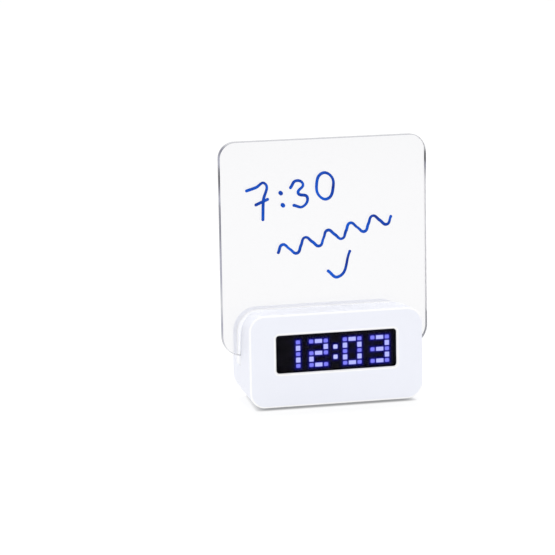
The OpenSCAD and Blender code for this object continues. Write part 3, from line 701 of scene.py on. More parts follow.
def carve(obj, cutter_bm):
    """Cuts a second mesh out of obj with an exact boolean."""
    cutter = to_object(obj.name + "_cutter", cutter_bm)
    mod = obj.modifiers.new("carve", "BOOLEAN")
    mod.operation = "DIFFERENCE"
    mod.solver = "EXACT"
    mod.object = cutter
    depsgraph = bpy.context.evaluated_depsgraph_get()
    carved = bpy.data.meshes.new_from_object(obj.evaluated_get(depsgraph))
    obj.modifiers.remove(mod)
    obj.data = carved
    bpy.data.objects.remove(cutter)


def crisp(obj):
    """Marks the sharp edges of a mesh again after a boolean."""
    bm = bmesh.new()
    bm.from_mesh(obj.data)
    mark_crisp(bm)
    bm.to_mesh(obj.data)
    bm.free()


def dress(obj, body, slot, finishes, *stands_for):
    for finish in finishes:
        obj.data.materials.append(finish)
    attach(obj, body)
    if stands_for:
        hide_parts(*stands_for)
    size = [round(d / mm, 1) for d in obj.dimensions]
    print(f"{obj.name}: {len(obj.data.polygons)} faces, {size} mm")


print(f"edges sharper than {math.degrees(crisp_angle):.0f} degrees stay crisp")

# %% [markdown]
# ## Body sections
# The front face has tighter corners than the rear face, and the lips of the slot roll inwards.
# Each section of the body is a ring with its own corner radius, so a plain extrusion can't make it;
# a loft through rings can.

# %% Body sections
wall = 2.0
front_corner = 8.8
rear_corner = 14.0
lip_roll = 1.5
lip_run = 5.5
lip_corner = 15.0
slot_floor = 21.7
least_radius = 0.5
edge_steps = 8
lip_steps = 10


def corner_radius(y):
    return front_corner + (rear_corner - front_corner) * (y - y_front) / (y_rear - y_front)


def body_ring(bm, y, top, inset, rolled):
    """A section of the body: rolled goes from 0, straight, to 1 at the lip of the slot."""
    radius = corner_radius(y)
    skirt = corner_radius(y_parting if slot_front <= y <= slot_rear else y)
    r_low = max(skirt - inset, least_radius)
    r_high = max(radius + (lip_corner - radius) * rolled - inset, least_radius)
    drop = lip_roll * rolled
    return ring(bm, y, half_w - inset, z_low + inset, top - inset - drop, drop, r_low, r_high, slot_floor)


def edge_rings(bm, y_end, way, top, inset, edge):
    """The rounded end of a shell, from its flat face to its side."""
    rings = []
    for i in range(edge_steps + 1):
        angle = math.radians(quarter * i / edge_steps)
        y = y_end + way * edge * (1 - math.cos(angle))
        rings.append(body_ring(bm, y, top, inset + edge * (1 - math.sin(angle)), 0))
    return rings


def lip_rings(bm, y_lip, way, top, inset):
    """The side of a shell where it rolls in towards the slot."""
    rings = []
    for i in range(lip_steps + 1):
        angle = math.radians(quarter * i / lip_steps)
        y = y_lip - way * lip_run * (1 - math.sin(angle))
        rings.append(body_ring(bm, y, top, inset, 1 - math.cos(angle)))
    return rings


def grow_skirt(bm, y_lip):
    """Below the slot the rim of a shell goes on to the parting plane."""
    flat = 1e-4
    rim = [
        f for f in bm.faces
        if all(abs(v.co.y - y_lip) < flat and v.co.z < slot_floor + flat for v in f.verts)
    ]
    grown = bmesh.ops.extrude_face_region(bm, geom=rim)
    moved = [g for g in grown["geom"] if isinstance(g, bmesh.types.BMVert)]
    bmesh.ops.translate(bm, vec=(0, y_parting - y_lip, 0), verts=moved)


print(f"corner radius {front_corner} mm in front, {corner_radius(y_parting):.1f} mm at the parting plane")

# %% [markdown]
# ## Front shell
# The front shell is a thin tub with a window in its face. One chain of rings goes from the window's
# chamfer over the rounded edge to the lip, round the rim and back inside, and closes at the window again,
# so outside, inside and thickness come from a single loft.

# %% Front shell
window_x, window_z = middle("display_window")
flange_w, flange_h = face_size("display_window")
window_flange = 2.2
window_w = flange_w - 2 * window_flange
window_h = flange_h - 2 * window_flange
window_r = 1.8
window_chamfer = 0.6
window_land = 0.7
front_edge = 1.0
inner_front = y_front + wall

bm = bmesh.new()
opening = [
    plate_ring(bm, window_x, window_z, inner_front, window_w, window_h, window_r),
    plate_ring(bm, window_x, window_z, y_front + window_chamfer, window_w, window_h, window_r),
] + [
    plate_ring(bm, window_x, window_z, y_front, window_w + 2 * out, window_h + 2 * out, window_r + out)
    for out in (window_chamfer, window_chamfer + window_land)
]
outside = edge_rings(bm, y_front, 1, z_front_top, 0, front_edge)
outside += lip_rings(bm, slot_front, 1, z_front_top, 0)
inside = lip_rings(bm, slot_front, 1, z_front_top, wall)[::-1]
inside.append(body_ring(bm, inner_front, z_front_top, wall, 0))
bridge(bm, opening + outside + inside + opening[:1])
grow_skirt(bm, slot_front)
front_case = to_object("front_case", bm)
even_shading(front_case)
print("front shell walls", wall, "mm thick")

# %% [markdown]
# ## Painted highlight on the rim of the front shell
# The faces of the rounded edge and those round the window get the glossier finish with a whiter colour,
# a painted highlight. They are picked by their slant and place, which is quicker than selecting them by
# hand and holds when a size changes. On the far right the edge keeps the case's own white and gets no
# painted highlight, because it turns away from the light there.

# %% Painted highlight on the rim
land_x = window_w / 2 + window_chamfer + window_land
land_z = window_h / 2 + window_chamfer + window_land
least_slant = 0.05
most_slant = 0.999
polished_highlight_painted = 0
for face in front_case.data.polygons:
    spot = face.center / mm
    slanted = least_slant < -face.normal.y < most_slant and spot.y < y_front + front_edge
    on_land = abs(spot.x - window_x) < land_x and abs(spot.z - window_z) < land_z
    if (slanted and spot.x < half_w - front_edge) or (on_land and spot.y < y_front + window_chamfer):
        # These faces get the glossier finish with the painted highlight.
        face.material_index = 1
        polished_highlight_painted += 1
dress(front_case, "case", "white_shell", [case_white, case_rim_painted_highlight], "front_shell")
print(polished_highlight_painted, "polished faces on the front edge and round the window")

# %% [markdown]
# ## Rear shell
# The rear shell is lofted the same way as the front one, but its flat face is closed, and its openings
# are cut after. Rings could leave one opening, but not this many.

# %% Rear shell
rear_edge = 3.0
inner_rear = y_rear - wall
inner_edge = rear_edge - wall
bm = bmesh.new()
outside = edge_rings(bm, y_rear, -1, z_rear_top, 0, rear_edge)
outside += lip_rings(bm, slot_rear, -1, z_rear_top, 0)
inside = lip_rings(bm, slot_rear, -1, z_rear_top, wall)[::-1]
inside += edge_rings(bm, inner_rear, -1, z_rear_top, wall, inner_edge)[::-1]
bridge(bm, outside + inside)
cap(bm, outside[0], inside[-1])
grow_skirt(bm, slot_rear)
rear_case = to_object("rear_case", bm)
print("closed rear shell:", len(rear_case.data.polygons), "faces")

# %% [markdown]
# ## Places on the rear face
# The rear face has a battery bay, five keys in a sunk panel, a light switch in another, a power inlet,
# a group of sound holes and four screw wells. Their places come from the solids that fill them,
# so each hole lies round its piece.

# %% Places on the rear face
keys = ["mode_key", "set_key", "up_key", "down_key", "alarm_key"]
key_flange = 1.2
key_places = [middle(name) for name in keys]
key_z = key_places[0][1]
key_w, key_h = (size - 2 * key_flange for size in face_size(keys[0]))
door_z = middle("battery_door")[1]
door_w, door_h = face_size("battery_door")
knob_travel = 4.0
knob_x, knob_z = middle("light_switch_knob")
knob_w, knob_h = face_size("light_switch_knob")
light_slot_x = knob_x + knob_travel / 2
inlet_x, inlet_z = middle("power_inlet")
buzzer_x, buzzer_z = middle("buzzer")
screw_head = 2.1
screws_low, screws_high = span("case_screws")
well_xs = (screws_low.x + screw_head, screws_high.x - screw_head)
well_zs = (screws_low.z + screw_head, screws_high.z - screw_head)
print(f"keys {key_w:.1f} x {key_h:.1f} mm, door {door_w:.1f} x {door_h:.1f} mm")

# %% [markdown]
# ## Bay, panels and round holes
# A boolean is the right tool for many small holes in a flat wall. All cutters of this round go into
# one mesh, so the wall is cut once. The two panels are only sunk, and the others go right through.

# %% Bay, panels and round holes
past = 1.0
fit_gap = 0.2
door_gap = 0.25
door_corner = 1.3
panel_sink = 1.0
panel_margin_x = 2.0
panel_margin_z = 1.0
panel_corner = 2.0
light_panel_z = 1.5
inlet_collar = 3.5
well_radius = 2.7
round_steps = 48
sound_hole = 0.9
sound_ring = 3.6
sound_count = 6
sound_steps = 24


def drill(cut, x, z, radius, segments):
    """A round hole right through the rear wall."""
    bar(cut, x, z, inner_rear - past, y_rear + past, radius, segments)


def sink(cut, x, z, w, h):
    """A shallow panel in the rear face."""
    rounded_plate(cut, x, z, y_rear - panel_sink, y_rear + past, w, h, panel_corner)


cut = bmesh.new()
bay_w = door_w + 2 * door_gap
bay_h = door_h + 2 * door_gap
rounded_plate(cut, 0, door_z, inner_rear - past, y_rear + past, bay_w, bay_h, door_corner + door_gap)
panel_w = key_places[-1][0] - key_places[0][0] + key_w + 2 * panel_margin_x
sink(cut, 0, key_z, panel_w, key_h + 2 * panel_margin_z)
sink(cut, light_slot_x, knob_z, knob_travel + knob_w + 2 * panel_margin_x, knob_h + 2 * light_panel_z)
drill(cut, inlet_x, inlet_z, inlet_collar + fit_gap, round_steps)
for x in well_xs:
    for z in well_zs:
        drill(cut, x, z, well_radius, round_steps)
drill(cut, buzzer_x, buzzer_z, sound_hole, sound_steps)
for i in range(sound_count):
    angle = math.radians(360 / sound_count * i)
    hole_x = buzzer_x + sound_ring * math.cos(angle)
    hole_z = buzzer_z + sound_ring * math.sin(angle)
    drill(cut, hole_x, hole_z, sound_hole, sound_steps)
carve(rear_case, cut)
print("rear shell with bay and holes:", len(rear_case.data.polygons), "faces")

# %% [markdown]
# ## Key holes and rear lip
# The key holes and the switch slot start from the floor of the sunk panels, so they are a second round
# of cutters. After a boolean the sharp edges are marked again. The part of the shell close behind the
# board gets the lip finish with painted light: a whiter colour and a faint glow.

# %% Key holes and rear lip
key_corner = 1.5
light_slot_corner = 0.6
cut = bmesh.new()
holes = [(x, z, key_w, key_h, key_corner + fit_gap) for x, z in key_places]
holes.append((light_slot_x, knob_z, knob_travel + knob_w, knob_h, light_slot_corner))
for x, z, w, h, corner in holes:
    rounded_plate(cut, x, z, inner_rear - past, y_rear, w + 2 * fit_gap, h + 2 * fit_gap, corner)
carve(rear_case, cut)
crisp(rear_case)
for face in rear_case.data.polygons:
    spot = face.center / mm
    if spot.y < slot_rear + lip_run and spot.z > board_low.z:
        # These faces get the lip's painted light.
        face.material_index = 1
even_shading(rear_case)
dress(rear_case, "case", "white_shell", [case_white, lip_painted_light], "rear_shell")

# %% [markdown]
# ## Screw wells
# Each case screw sits at the bottom of a tube that hangs from the rear wall inside. A profile of six
# points spun once round the screw's axis gives the tube with its floor, and no boolean is needed.

# %% Screw wells
boss_radius = 3.5
shank_radius = 1.55
seat_depth = 2.5
# Where each pair of wells ends, from the lower pair to the upper pair
well_floors = (5.5, 15.75)


def well_tube(bm, x, z, y_floor):
    under = y_floor - seat_depth
    profile = [
        (well_radius, inner_rear), (boss_radius, inner_rear), (boss_radius, under),
        (shank_radius, under), (shank_radius, y_floor), (well_radius, y_floor),
    ]
    spun(bm, [(x + r, y, z) for r, y in profile], (x, 0, z), (0, 1, 0), closed=True)


bm = bmesh.new()
for x in well_xs:
    for z, y_floor in zip(well_zs, well_floors):
        well_tube(bm, x, z, y_floor)
screw_wells = to_object("screw_wells", bm)
dress(screw_wells, "case", "white_shell", [case_white])

# %% [markdown]
# ## Memo board
# The board is one clear plate with polished, slightly eased edges. It is a closed solid, so the glass
# shader bends light through its real thickness. The band round the edge gets its own finish with painted
# reflections.

# %% Memo board
board_r = 9.5
board_foot_r = 11.5
board_ease = 0.4
face_slant = 0.99
board_z = middle("memo_board")[1]
board_w, board_h = face_size("memo_board")
bm = bmesh.new()
rounded_plate(
    bm, 0, board_z, board_low.y, board_high.y, board_w, board_h, board_r,
    board_ease, board_ease, r_low=board_foot_r,
)
bm.normal_update()
for face in bm.faces:
    face.material_index = 0 if abs(face.normal.y) > face_slant else 1
memo_pane = to_object("memo_pane", bm)
even_shading(memo_pane)
dress(memo_pane, "memo_board", "clear_acrylic", [acrylic_face, acrylic_edge_painted_reflections], "memo_board")

# %% [markdown]
# ## Marker ink
# A memo board is shown in use, so it carries a few plain strokes of blue marker. Marker ink on plastic
# lies unevenly: it is darker where it pools, and dries with little shine.

# %% Marker ink


def ink_finish():
    mat, tree, shader = new_finish("marker ink", {"Specular IOR Level": 0.15})
    flow = noise(tree, 120.0, 2.0)
    colour_by(tree, shader, flow, (0.35, (0.002, 0.03, 0.30)), (0.65, (0.003, 0.10, 0.62)))
    gloss_by(tree, shader, noise(tree, 500.0), 0.5, 0.7)
    return mat


marker_ink = ink_finish()
print("marker ink with", len(marker_ink.node_tree.nodes), "nodes")

# %% [markdown]
# ## Marker strokes
# Each stroke is a smooth curve with a round bevel, made a mesh and given round ends. A curve through
# a few points bends as a hand draws, which a row of straight bars would not.

# %% Marker strokes
ink_width = 1.75
ink_sway = 0.12
sway_step = 2.1
sway_start = 0.6
dot_blot = 0.68
end_blot = 0.52


def stroke_curve(points, closed):
    """A stroke through points on the board's face, given as x and z in millimetres."""
    curve = bpy.data.curves.new("stroke", "CURVE")
    curve.dimensions = "3D"
    curve.bevel_depth = ink_width / 2
    curve.bevel_resolution = 3
    curve.use_fill_caps = True
    spline = curve.splines.new("BEZIER")
    spline.bezier_points.add(len(points) - 1)
    spline.use_cyclic_u = closed
    spline.resolution_u = 10
    for i, (knot, (x, z)) in enumerate(zip(spline.bezier_points, points)):
        knot.co = (x, 0, z)
        knot.radius = 1 + ink_sway * math.sin(sway_step * i + sway_start)
        knot.handle_left_type = "AUTO"
        knot.handle_right_type = "AUTO"
    return curve


def add_stroke(bm, points, closed=False):
    """Adds the mesh of a stroke. An open one gets round ends, and a dot of two points gets larger ones."""
    holder = bpy.data.objects.new("stroke", stroke_curve(points, closed))
    bpy.context.collection.objects.link(holder)
    mesh = bpy.data.meshes.new_from_object(holder.evaluated_get(bpy.context.evaluated_depsgraph_get()))
    bm.from_mesh(mesh)
    bpy.data.objects.remove(holder)
    bpy.data.meshes.remove(mesh)
    if closed:
        return
    is_dot = len(points) == 2 and abs(points[0][0] - points[1][0]) < 1
    blot = ink_width * (dot_blot if is_dot else end_blot)
    for x, z in (points[0], points[-1]):
        bmesh.ops.create_icosphere(bm, subdivisions=3, radius=blot, matrix=Matrix.Translation((x, 0, z)))


print("strokes", ink_width, "mm wide")

# %% [markdown]
# ## Marker note
# The note is a time of day, a wavy line and a tick, all on one slant. The strokes are drawn level,
# leaned over, and pressed flat against the board at the end, as ink lies.

# %% Marker note
ink_depth = 0.12
note_tilt = math.radians(14.5)
# Strokes before their slant: a seven, a colon, a three and a nought
time_strokes = [
    ([(0, 18.4), (5.5, 18.6), (11, 19.4), (7.6, 10), (4.6, 0)], False),
    ([(3, 9.2), (10.2, 10.2)], False),
    ([(18.2, 11.6), (18.5, 11.1)], False),
    ([(17.6, 4.6), (17.9, 4.1)], False),
    ([(24.6, 12.6), (28.6, 15.4), (32, 12.4), (28, 8.4), (32.4, 4.6), (28.6, 0.2), (23.8, 2.4)], False),
    ([(44, 15), (39.4, 9.6), (39.6, 2.6), (43.6, 0.2), (48.2, 5.4), (48.6, 12.2)], True),
]
time_corner = (-40.0, 103.0)
tick_strokes = [([(0, 5), (4.6, 0), (15, 12)], False)]
tick_corner = (3.0, 68.0)
wave_start = (-27.0, 85.0)
wave_length = 68.0
wave_height = 3.6
wave_quarters = 20

bm = bmesh.new()
lean = Matrix.Rotation(-note_tilt, 4, "Y")
for strokes, corner in ((time_strokes, time_corner), (tick_strokes, tick_corner)):
    part = bmesh.new()
    for points, closed in strokes:
        add_stroke(part, points, closed)
    bmesh.ops.transform(part, matrix=Matrix.Translation((corner[0], 0, corner[1])) @ lean, verts=part.verts)
    part_mesh = bpy.data.meshes.new("part")
    part.to_mesh(part_mesh)
    part.free()
    bm.from_mesh(part_mesh)
    bpy.data.meshes.remove(part_mesh)
wave = []
for i in range(wave_quarters + 1):
    along = wave_length * i / wave_quarters
    swing = wave_height * math.sin(math.radians(quarter * i))
    wave.append((
        wave_start[0] + along * math.cos(note_tilt) - swing * math.sin(note_tilt),
        wave_start[1] + along * math.sin(note_tilt) + swing * math.cos(note_tilt),
    ))
add_stroke(bm, wave)
bmesh.ops.scale(bm, vec=(1, 2 * ink_depth / ink_width, 1), verts=bm.verts)
bmesh.ops.translate(bm, vec=(0, board_low.y - ink_depth / 2, 0), verts=bm.verts)
marker_note = to_object("marker_note", bm)
dress(marker_note, "memo_board", None, [marker_ink])

# %% [markdown]
# ## Smoked pane
# The window is a stepped plate: the face fills the opening in the case, and a hidden flange behind it
# is taped to the inside of the wall. Five rings in turn give the eased rim, the face's side, the step
# and the flange.

# %% Smoked pane
window_low, window_high = span("display_window")
tape_high = span("window_tape")[1]
window_gap = 0.15
flange_corner = window_r + 1
pane_ease = 0.15
face_w = window_w - 2 * window_gap
face_h = window_h - 2 * window_gap
face_r = window_r - window_gap
bm = bmesh.new()
steps = [
    (window_low.y, face_w - 2 * pane_ease, face_h - 2 * pane_ease, face_r - pane_ease),
    (window_low.y + pane_ease, face_w, face_h, face_r),
    (tape_high.y, face_w, face_h, face_r),
    (tape_high.y, flange_w, flange_h, flange_corner),
    (window_high.y, flange_w, flange_h, flange_corner),
]
rings = [plate_ring(bm, window_x, window_z, *step) for step in steps]
bridge(bm, rings)
cap(bm, rings[0], rings[-1])
smoked_pane = to_object("smoked_pane", bm)
even_shading(smoked_pane)
dress(smoked_pane, "case", "smoked_window", [smoked], "display_window")

# %% [markdown]
# ## Layout of the light cells
# A digit is three columns of five light cells without the two inner ones. Corner cells are small, and
# the cells between them are longer. Writing the digits as rows of marks keeps the layout readable,
# and another time of day needs only other rows.

# %% Layout of the light cells
digits_z = middle("lit_corner_cells")[1]
cell_w = 2.6
cell_mid_w = 4.3
cell_h = 2.3
cell_tall_h = 2.9
cell_gap = 0.75
digit_pitch = 16.0
colon_pitch = 19.5
dot_w = 2.5
dot_pitch = 5.8
column_step = (cell_mid_w + cell_w) / 2 + cell_gap
row_step = (cell_h + cell_tall_h) / 2 + cell_gap
column_w = (cell_w, cell_mid_w, cell_w)
row_h = (cell_h, cell_tall_h, cell_h, cell_tall_h, cell_h)
first_x = colon_pitch / 2
digit_x = (-first_x - digit_pitch, -first_x, first_x, first_x + digit_pitch)
# Rows of each digit from the top: which of the three columns are lit
one = ("..#", "..#", "..#", "..#", "..#")
two = ("###", "..#", "###", "#..", "###")
nought = ("###", "#.#", "#.#", "#.#", "###")
three = ("###", "..#", "###", "..#", "###")
shown_digits = (one, two, nought, three)

edge_cells = []
corner_cells = []
dark_cells = []
for x0, rows in zip(digit_x, shown_digits):
    for i, row in enumerate(rows):
        for j, mark in enumerate(row):
            if j == 1 and i % 2 == 1:
                continue
            cell = (x0 + (j - 1) * column_step, digits_z + (2 - i) * row_step, column_w[j], row_h[i])
            if mark == ".":
                dark_cells.append(cell)
            elif j == 1 or i % 2 == 1:
                edge_cells.append(cell)
            else:
                corner_cells.append(cell)
colon_cells = [(0, digits_z + s * dot_pitch / 2, dot_w, dot_w) for s in (1, -1)]
print(len(edge_cells), "edge cells,", len(corner_cells), "corner cells,", len(dark_cells), "dark cells")

# %% [markdown]
# ## Finish of the lit cells
# A lit cell is a diffuser with a light-emitting diode behind it: brightest in the middle, with the
# faint squares of the diffuser's mesh. A point attribute, stored when the cells are made, tells the
# shader how far it is from the rim. Corner cells are violet, and the others are paler.

# %% Finish of the lit cells
mesh_scale = 400.0
mesh_shade = 0.84
glow_strength = 4.6


def cell_finish(name, rim, core):
    mat, tree, shader = new_finish(name, {"Base Color": (*shaded(core, 0.3), 1), "Roughness": 0.6})
    fade = tree.nodes.new("ShaderNodeAttribute")
    fade.attribute_name = "core"
    weave = tree.nodes.new("ShaderNodeMath")
    weave.operation = "MULTIPLY"
    for i, direction in enumerate("XZ"):
        lines = between(tree, stripes(tree, direction, mesh_scale), mesh_shade, 1.0, 0.0, 0.6)
        tree.links.new(lines, weave.inputs[i])
    glow = tree.nodes.new("ShaderNodeMath")
    glow.operation = "MULTIPLY"
    glow.inputs[1].default_value = glow_strength
    tree.links.new(weave.outputs[0], glow.inputs[0])
    shade = tones(tree, fade.outputs["Fac"], [(0.0, rim), (1.0, core)])
    tree.links.new(shade, shader.inputs["Emission Color"])
    tree.links.new(glow.outputs[0], shader.inputs["Emission Strength"])
    return mat


lavender = cell_finish("lit lavender", (0.36, 0.39, 0.95), (0.60, 0.66, 1.0))
violet = cell_finish("lit violet", (0.13, 0.135, 0.68), (0.27, 0.285, 0.92))
colon_white = cell_finish("lit colon", (0.42, 0.46, 0.90), (0.70, 0.76, 1.0))
print("lit finishes:", lavender.name, violet.name, colon_white.name, sep=", ")

# %% [markdown]
# ## Light cells
# Each cell is a small block with a ring inside its rim on the front. The points of that inner ring
# store 1 and the others 0, so the light fades towards the rim without any texture.

# %% Light cells
housing_low, housing_high = span("display_housing")
cell_depth = 1.2
core_inset = 0.35
least_core_r = 0.1
edge_r = 0.25
corner_r = 0.7
colon_r = 0.6


def cell_blocks(name, cells, radius, slot, finish, node):
    bm = bmesh.new()
    y0 = housing_low.y
    core_r = max(radius - core_inset, least_core_r)
    for x, z, w, h in cells:
        rings = [
            plate_ring(bm, x, z, y0, w - 2 * core_inset, h - 2 * core_inset, core_r),
            plate_ring(bm, x, z, y0, w, h, radius),
            plate_ring(bm, x, z, y0 + cell_depth, w, h, radius),
        ]
        bridge(bm, rings)
        cap(bm, rings[0], rings[-1])
    obj = to_object(name, bm)
    core = obj.data.attributes.new("core", "FLOAT", "POINT")
    for vert, value in zip(obj.data.vertices, core.data):
        spot = vert.co / mm
        inner = any(
            abs(spot.x - x) < w / 2 - core_inset / 2 and abs(spot.z - z) < h / 2 - core_inset / 2
            for x, z, w, h in cells
        )
        value.value = 1.0 if inner else 0.0
    dress(obj, "case", slot, [finish], node)
    return obj


cell_blocks("edge_lights", edge_cells, edge_r, "lit_edge", lavender, "lit_edge_cells")
cell_blocks("corner_lights", corner_cells, corner_r, "lit_corner", violet, "lit_corner_cells")
cell_blocks("colon_lights", colon_cells, colon_r, "lit_edge", colon_white, "colon_dots")

# %% [markdown]
# ## Halo of the lit cells
# Light leaks from the lit cells into the black housing and into the dark cells as a deep blue halo.
# A glow in the compositor would not be part of the model. Here each point stores how close the nearest
# lit cell is, and the finishes of both read that value.

# %% Halo of the lit cells
halo_reach = 3.0
halo_strength = 1.6
navy = [
    (0.0, (0, 0, 0)),
    (0.45, (0.001, 0.001, 0.012)),
    (0.7, (0.003, 0.003, 0.09)),
    (1.0, (0.01, 0.008, 0.5)),
]


def halo_at(x, z):
    """1 at a lit cell's rim, falling to 0 over the reach of the halo."""
    best = 0.0
    for cx, cz, w, h in edge_cells + corner_cells + colon_cells:
        dx = max(abs(x - cx) - w / 2, 0)
        dz = max(abs(z - cz) - h / 2, 0)
        best = max(best, 1 - math.hypot(dx, dz) / halo_reach)
    return best


def store_halo(obj):
    halo = obj.data.attributes.new("halo", "FLOAT", "POINT")
    for vert, value in zip(obj.data.vertices, halo.data):
        value.value = halo_at(vert.co.x / mm, vert.co.z / mm)


def haloed_black(name, low_tone, high_tone):
    mat, tree, shader = new_finish(name, {"Emission Strength": halo_strength, "Roughness": 0.7})
    leak = tree.nodes.new("ShaderNodeAttribute")
    leak.attribute_name = "halo"
    tree.links.new(tones(tree, leak.outputs["Fac"], navy), shader.inputs["Emission Color"])
    colour_by(tree, shader, noise(tree, 300.0), (0.3, low_tone), (0.7, high_tone))
    grain(tree, shader, noise(tree, 1500.0, 2.0), 0.02)
    return mat


housing_black = haloed_black("housing black", (0.046, 0.042, 0.050), (0.068, 0.064, 0.074))
unlit = haloed_black("unlit diffuser", (0.044, 0.040, 0.048), (0.062, 0.058, 0.068))
print(f"halo between the digits: {halo_at(0, digits_z):.2f}")

# %% [markdown]
# ## Display housing
# The black housing holds the cells in pockets. Its face is a fine grid, so that it has points enough
# to store the halo. The border of the grid is drawn back into walls, the back is filled, and the
# pockets are cut with a boolean.

# %% Display housing
grid_step = 0.5
dark_r = 0.3
housing_w, housing_h = face_size("display_housing")
columns = round(housing_w / grid_step)
rows = round(housing_h / grid_step)
bm = bmesh.new()
bmesh.ops.create_grid(bm, x_segments=columns, y_segments=rows, size=0.5)
bmesh.ops.scale(bm, vec=(housing_w, housing_h, 1), verts=bm.verts)
bmesh.ops.rotate(bm, cent=(0, 0, 0), matrix=Matrix.Rotation(math.radians(90), 3, "X"), verts=bm.verts)
bmesh.ops.translate(bm, vec=(window_x, housing_low.y, window_z), verts=bm.verts)
border = [e for e in bm.edges if e.is_boundary]
walls = bmesh.ops.extrude_edge_only(bm, edges=border)["geom"]
back_verts = [g for g in walls if isinstance(g, bmesh.types.BMVert)]
bmesh.ops.translate(bm, vec=(0, housing_high.y - housing_low.y, 0), verts=back_verts)
bmesh.ops.holes_fill(bm, edges=[e for e in bm.edges if e.is_boundary], sides=0)
display_face = to_object("display_face", bm)

cut = bmesh.new()
pockets = ((edge_cells, edge_r), (corner_cells, corner_r), (colon_cells, colon_r), (dark_cells, dark_r))
for cells, radius in pockets:
    for x, z, w, h in cells:
        rounded_plate(cut, x, z, housing_low.y - past, housing_low.y + cell_depth, w, h, radius)
carve(display_face, cut)
crisp(display_face)
store_halo(display_face)
dress(display_face, "case", "black_plastic", [housing_black], "display_housing")
store_halo(cell_blocks("dark_lights", dark_cells, dark_r, "dark_diffuser", unlit, "unlit_cells"))

# %% [markdown]
# ## Marks on the keys
# A finger has to tell the keys apart in the dark. The up and down keys carry a raised arrow, the others
# dots or a bar. A cone with three sides is an arrow, so no outline has to be drawn.

# %% Marks on the keys
mark_height = 0.25
arrow_foot = 1.3
arrow_top = 1.1
dot_radius = 0.8
pair_radius = 0.7
pair_offset = 1.2
dash_w = 3.0
dash_h = 0.9
dash_corner = 0.4
marks = {"mode_key": "dot", "set_key": "bar", "up_key": "up", "down_key": "down", "alarm_key": "pair"}


def raised_mark(bm, kind, x, z, y):
    top = y + mark_height
    if kind in ("up", "down"):
        way = 90 if kind == "up" else -90
        place = Matrix.Translation((x, y + mark_height / 2, z))
        place = place @ Matrix.Rotation(math.radians(-way), 4, "Y")
        place = place @ Matrix.Rotation(math.radians(90), 4, "X")
        bmesh.ops.create_cone(
            bm, cap_ends=True, segments=3, radius1=arrow_foot, radius2=arrow_top,
            depth=mark_height, matrix=place,
        )
    elif kind == "dot":
        bar(bm, x, z, y, top, dot_radius)
    elif kind == "bar":
        rounded_plate(bm, x, z, y, top, dash_w, dash_h, dash_corner)
    else:
        for side in (-1, 1):
            bar(bm, x + side * pair_offset, z, y, top, pair_radius)


print("marks:", ", ".join(marks.values()))

# %% [markdown]
# ## Keys
# Five keys stand out of the sunk panel at the back. A key is a cap with an eased rim on a thin flange
# that keeps it in the case. Two plates one behind the other make it, and each key is a piece of its own,
# because each one moves.

# %% Keys
key_ease = 0.5
for name, (x, z) in zip(keys, key_places):
    low, high = span(name)
    face_y = high.y - mark_height
    bm = bmesh.new()
    rounded_plate(bm, x, z, low.y, inner_rear, *face_size(name), key_corner)
    rounded_plate(bm, x, z, inner_rear, face_y, key_w, key_h, key_corner, 0.0, key_ease)
    raised_mark(bm, marks[name], x, z, face_y)
    key_cap = to_object(name + "_cap", bm)
    even_shading(key_cap)
    dress(key_cap, name, "key_plastic", [key_grey], name)

# %% [markdown]
# ## Light switch knob
# The knob of the slide switch is a small block with three ribs across its face for the fingertip.
# Ribs this small could be a bump in the finish, but then they would not show at the knob's outline.

# %% Light switch knob
knob_corner = 0.4
knob_ease = 0.1
rib_w = 0.4
rib_pitch = 0.9
rib_short = 0.6
rib_height = 0.35
rib_corner = 0.15
rib_ease = 0.12
rib_ease_steps = 2
knob_low, knob_high = span("light_switch_knob")
knob_face = knob_high.y - rib_height
bm = bmesh.new()
rounded_plate(bm, knob_x, knob_z, knob_low.y, knob_face, knob_w, knob_h, knob_corner, 0.0, knob_ease)
for i in (-1, 0, 1):
    rounded_plate(
        bm, knob_x + i * rib_pitch, knob_z, knob_face, knob_high.y, rib_w, knob_h - rib_short,
        rib_corner, 0.0, rib_ease, rib_ease_steps,
    )
knob_cap = to_object("light_knob_cap", bm)
dress(knob_cap, "light_knob", "black_plastic", [black_plastic], "light_switch_knob")

# %% [markdown]
# ## Battery door
# The door is a flat plate with eased edges and a scooped finger grip. A large cylinder lying across
# the door cuts the scoop, which gives a hollow that is round in height and straight across.

# %% Battery door
door_ease = 0.3
grip_radius = 7.0
grip_w = 16.0
grip_depth = 0.9
grip_drop = 5.0
grip_steps = 96
door_low, door_high = span("battery_door")
grip_z = door_high.z - grip_drop
bm = bmesh.new()
rounded_plate(bm, 0, door_z, door_low.y, door_high.y, door_w, door_h, door_corner, 0.0, door_ease)
door_panel = to_object("battery_door_panel", bm)
cut = bmesh.new()
place = Matrix.Translation((0, y_rear + grip_radius - grip_depth, grip_z))
place = place @ Matrix.Rotation(math.radians(90), 4, "Y")
bmesh.ops.create_cone(
    cut, cap_ends=True, segments=grip_steps, radius1=grip_radius, radius2=grip_radius,
    depth=grip_w, matrix=place,
)
carve(door_panel, cut)
crisp(door_panel)
even_shading(door_panel)
dress(door_panel, "battery_door", "white_shell", [case_white], "battery_door")

# %% [markdown]
# ## Ribs in the finger grip
# Three low ribs lie in the scoop, so that a finger gets hold of the door. They start below the floor
# of the scoop and end under the face, so nothing stands out of the case.

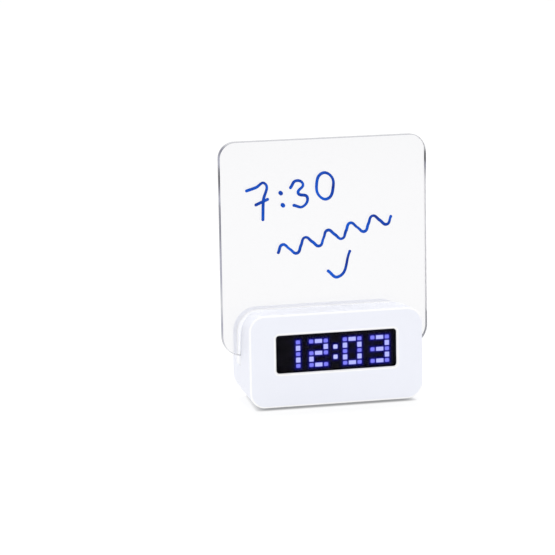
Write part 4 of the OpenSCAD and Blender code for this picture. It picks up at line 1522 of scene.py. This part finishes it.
# %% Ribs in the finger grip
grip_rib_pitch = 1.5
grip_rib_w = 11.0
grip_rib_h = 0.6
grip_rib_corner = 0.25
grip_rib_ease = 0.15
grip_rib_root = 1.1
grip_rib_top = 0.25
bm = bmesh.new()
for i in (-1, 0, 1):
    rounded_plate(
        bm, 0, grip_z + i * grip_rib_pitch, y_rear - grip_rib_root, y_rear - grip_rib_top,
        grip_rib_w, grip_rib_h, grip_rib_corner, 0.0, grip_rib_ease, rib_ease_steps,
    )
grip_ribs = to_object("battery_door_ribs", bm)
dress(grip_ribs, "battery_door", "white_shell", [case_white])

# %% [markdown]
# ## Rubber feet
# Each foot is a low disc with an eased rim under the case. A profile spun round its axis makes it,
# from the middle of its underside over the rim to the middle of its top.

# %% Rubber feet
foot_radius = 4.0
foot_ease = 0.35
ease_share = 0.3
feet_low, feet_high = span("rubber_feet")
profile = [
    (0, 0), (foot_radius - foot_ease, 0), (foot_radius - foot_ease * ease_share, foot_ease * ease_share),
    (foot_radius, foot_ease), (foot_radius, feet_high.z), (0, feet_high.z),
]
bm = bmesh.new()
for x in (feet_low.x + foot_radius, feet_high.x - foot_radius):
    for y in (feet_low.y + foot_radius, feet_high.y - foot_radius):
        spun(bm, [(x + r, y, z) for r, z in profile], (x, y, 0), (0, 0, 1))
feet = to_object("foot_discs", bm)
dress(feet, "case", "foot_rubber", [foot_rubber], "rubber_feet")

# %% [markdown]
# ## Solids that stay
# The other pieces, most of them inside the case, are already the right shape, so their solids stay and
# only get a finish.

# %% Finishes for the solids that stay
kept = {
    foam_tape: ["window_tape"],
    circuit_green: ["display_board", "key_board", "light_strip"],
    black_plastic: [
        "clock_chip", "key_switches", "light_switch_body", "power_inlet", "battery_box", "buzzer",
    ],
    cradle_white: ["board_cradle"],
    resin: ["light_strip_leds"],
    plated_steel: [
        "quartz_crystal", "display_board_screws", "cradle_screws", "key_board_screws", "case_screws",
        "inlet_pin", "battery_plates", "battery_leaf_springs",
    ],
    cell_blue: ["battery_cells"],
    ribbon_grey: ["display_ribbon"],
    red_sleeve: ["battery_leads", "light_leads"],
}
for finish, nodes in kept.items():
    for node in nodes:
        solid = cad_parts[node]
        if not solid.material_slots:
            solid.data.materials.append(finish)
        for material_slot in solid.material_slots:
            material_slot.material = finish
print(sum(len(nodes) for nodes in kept.values()), "solids keep their shape")
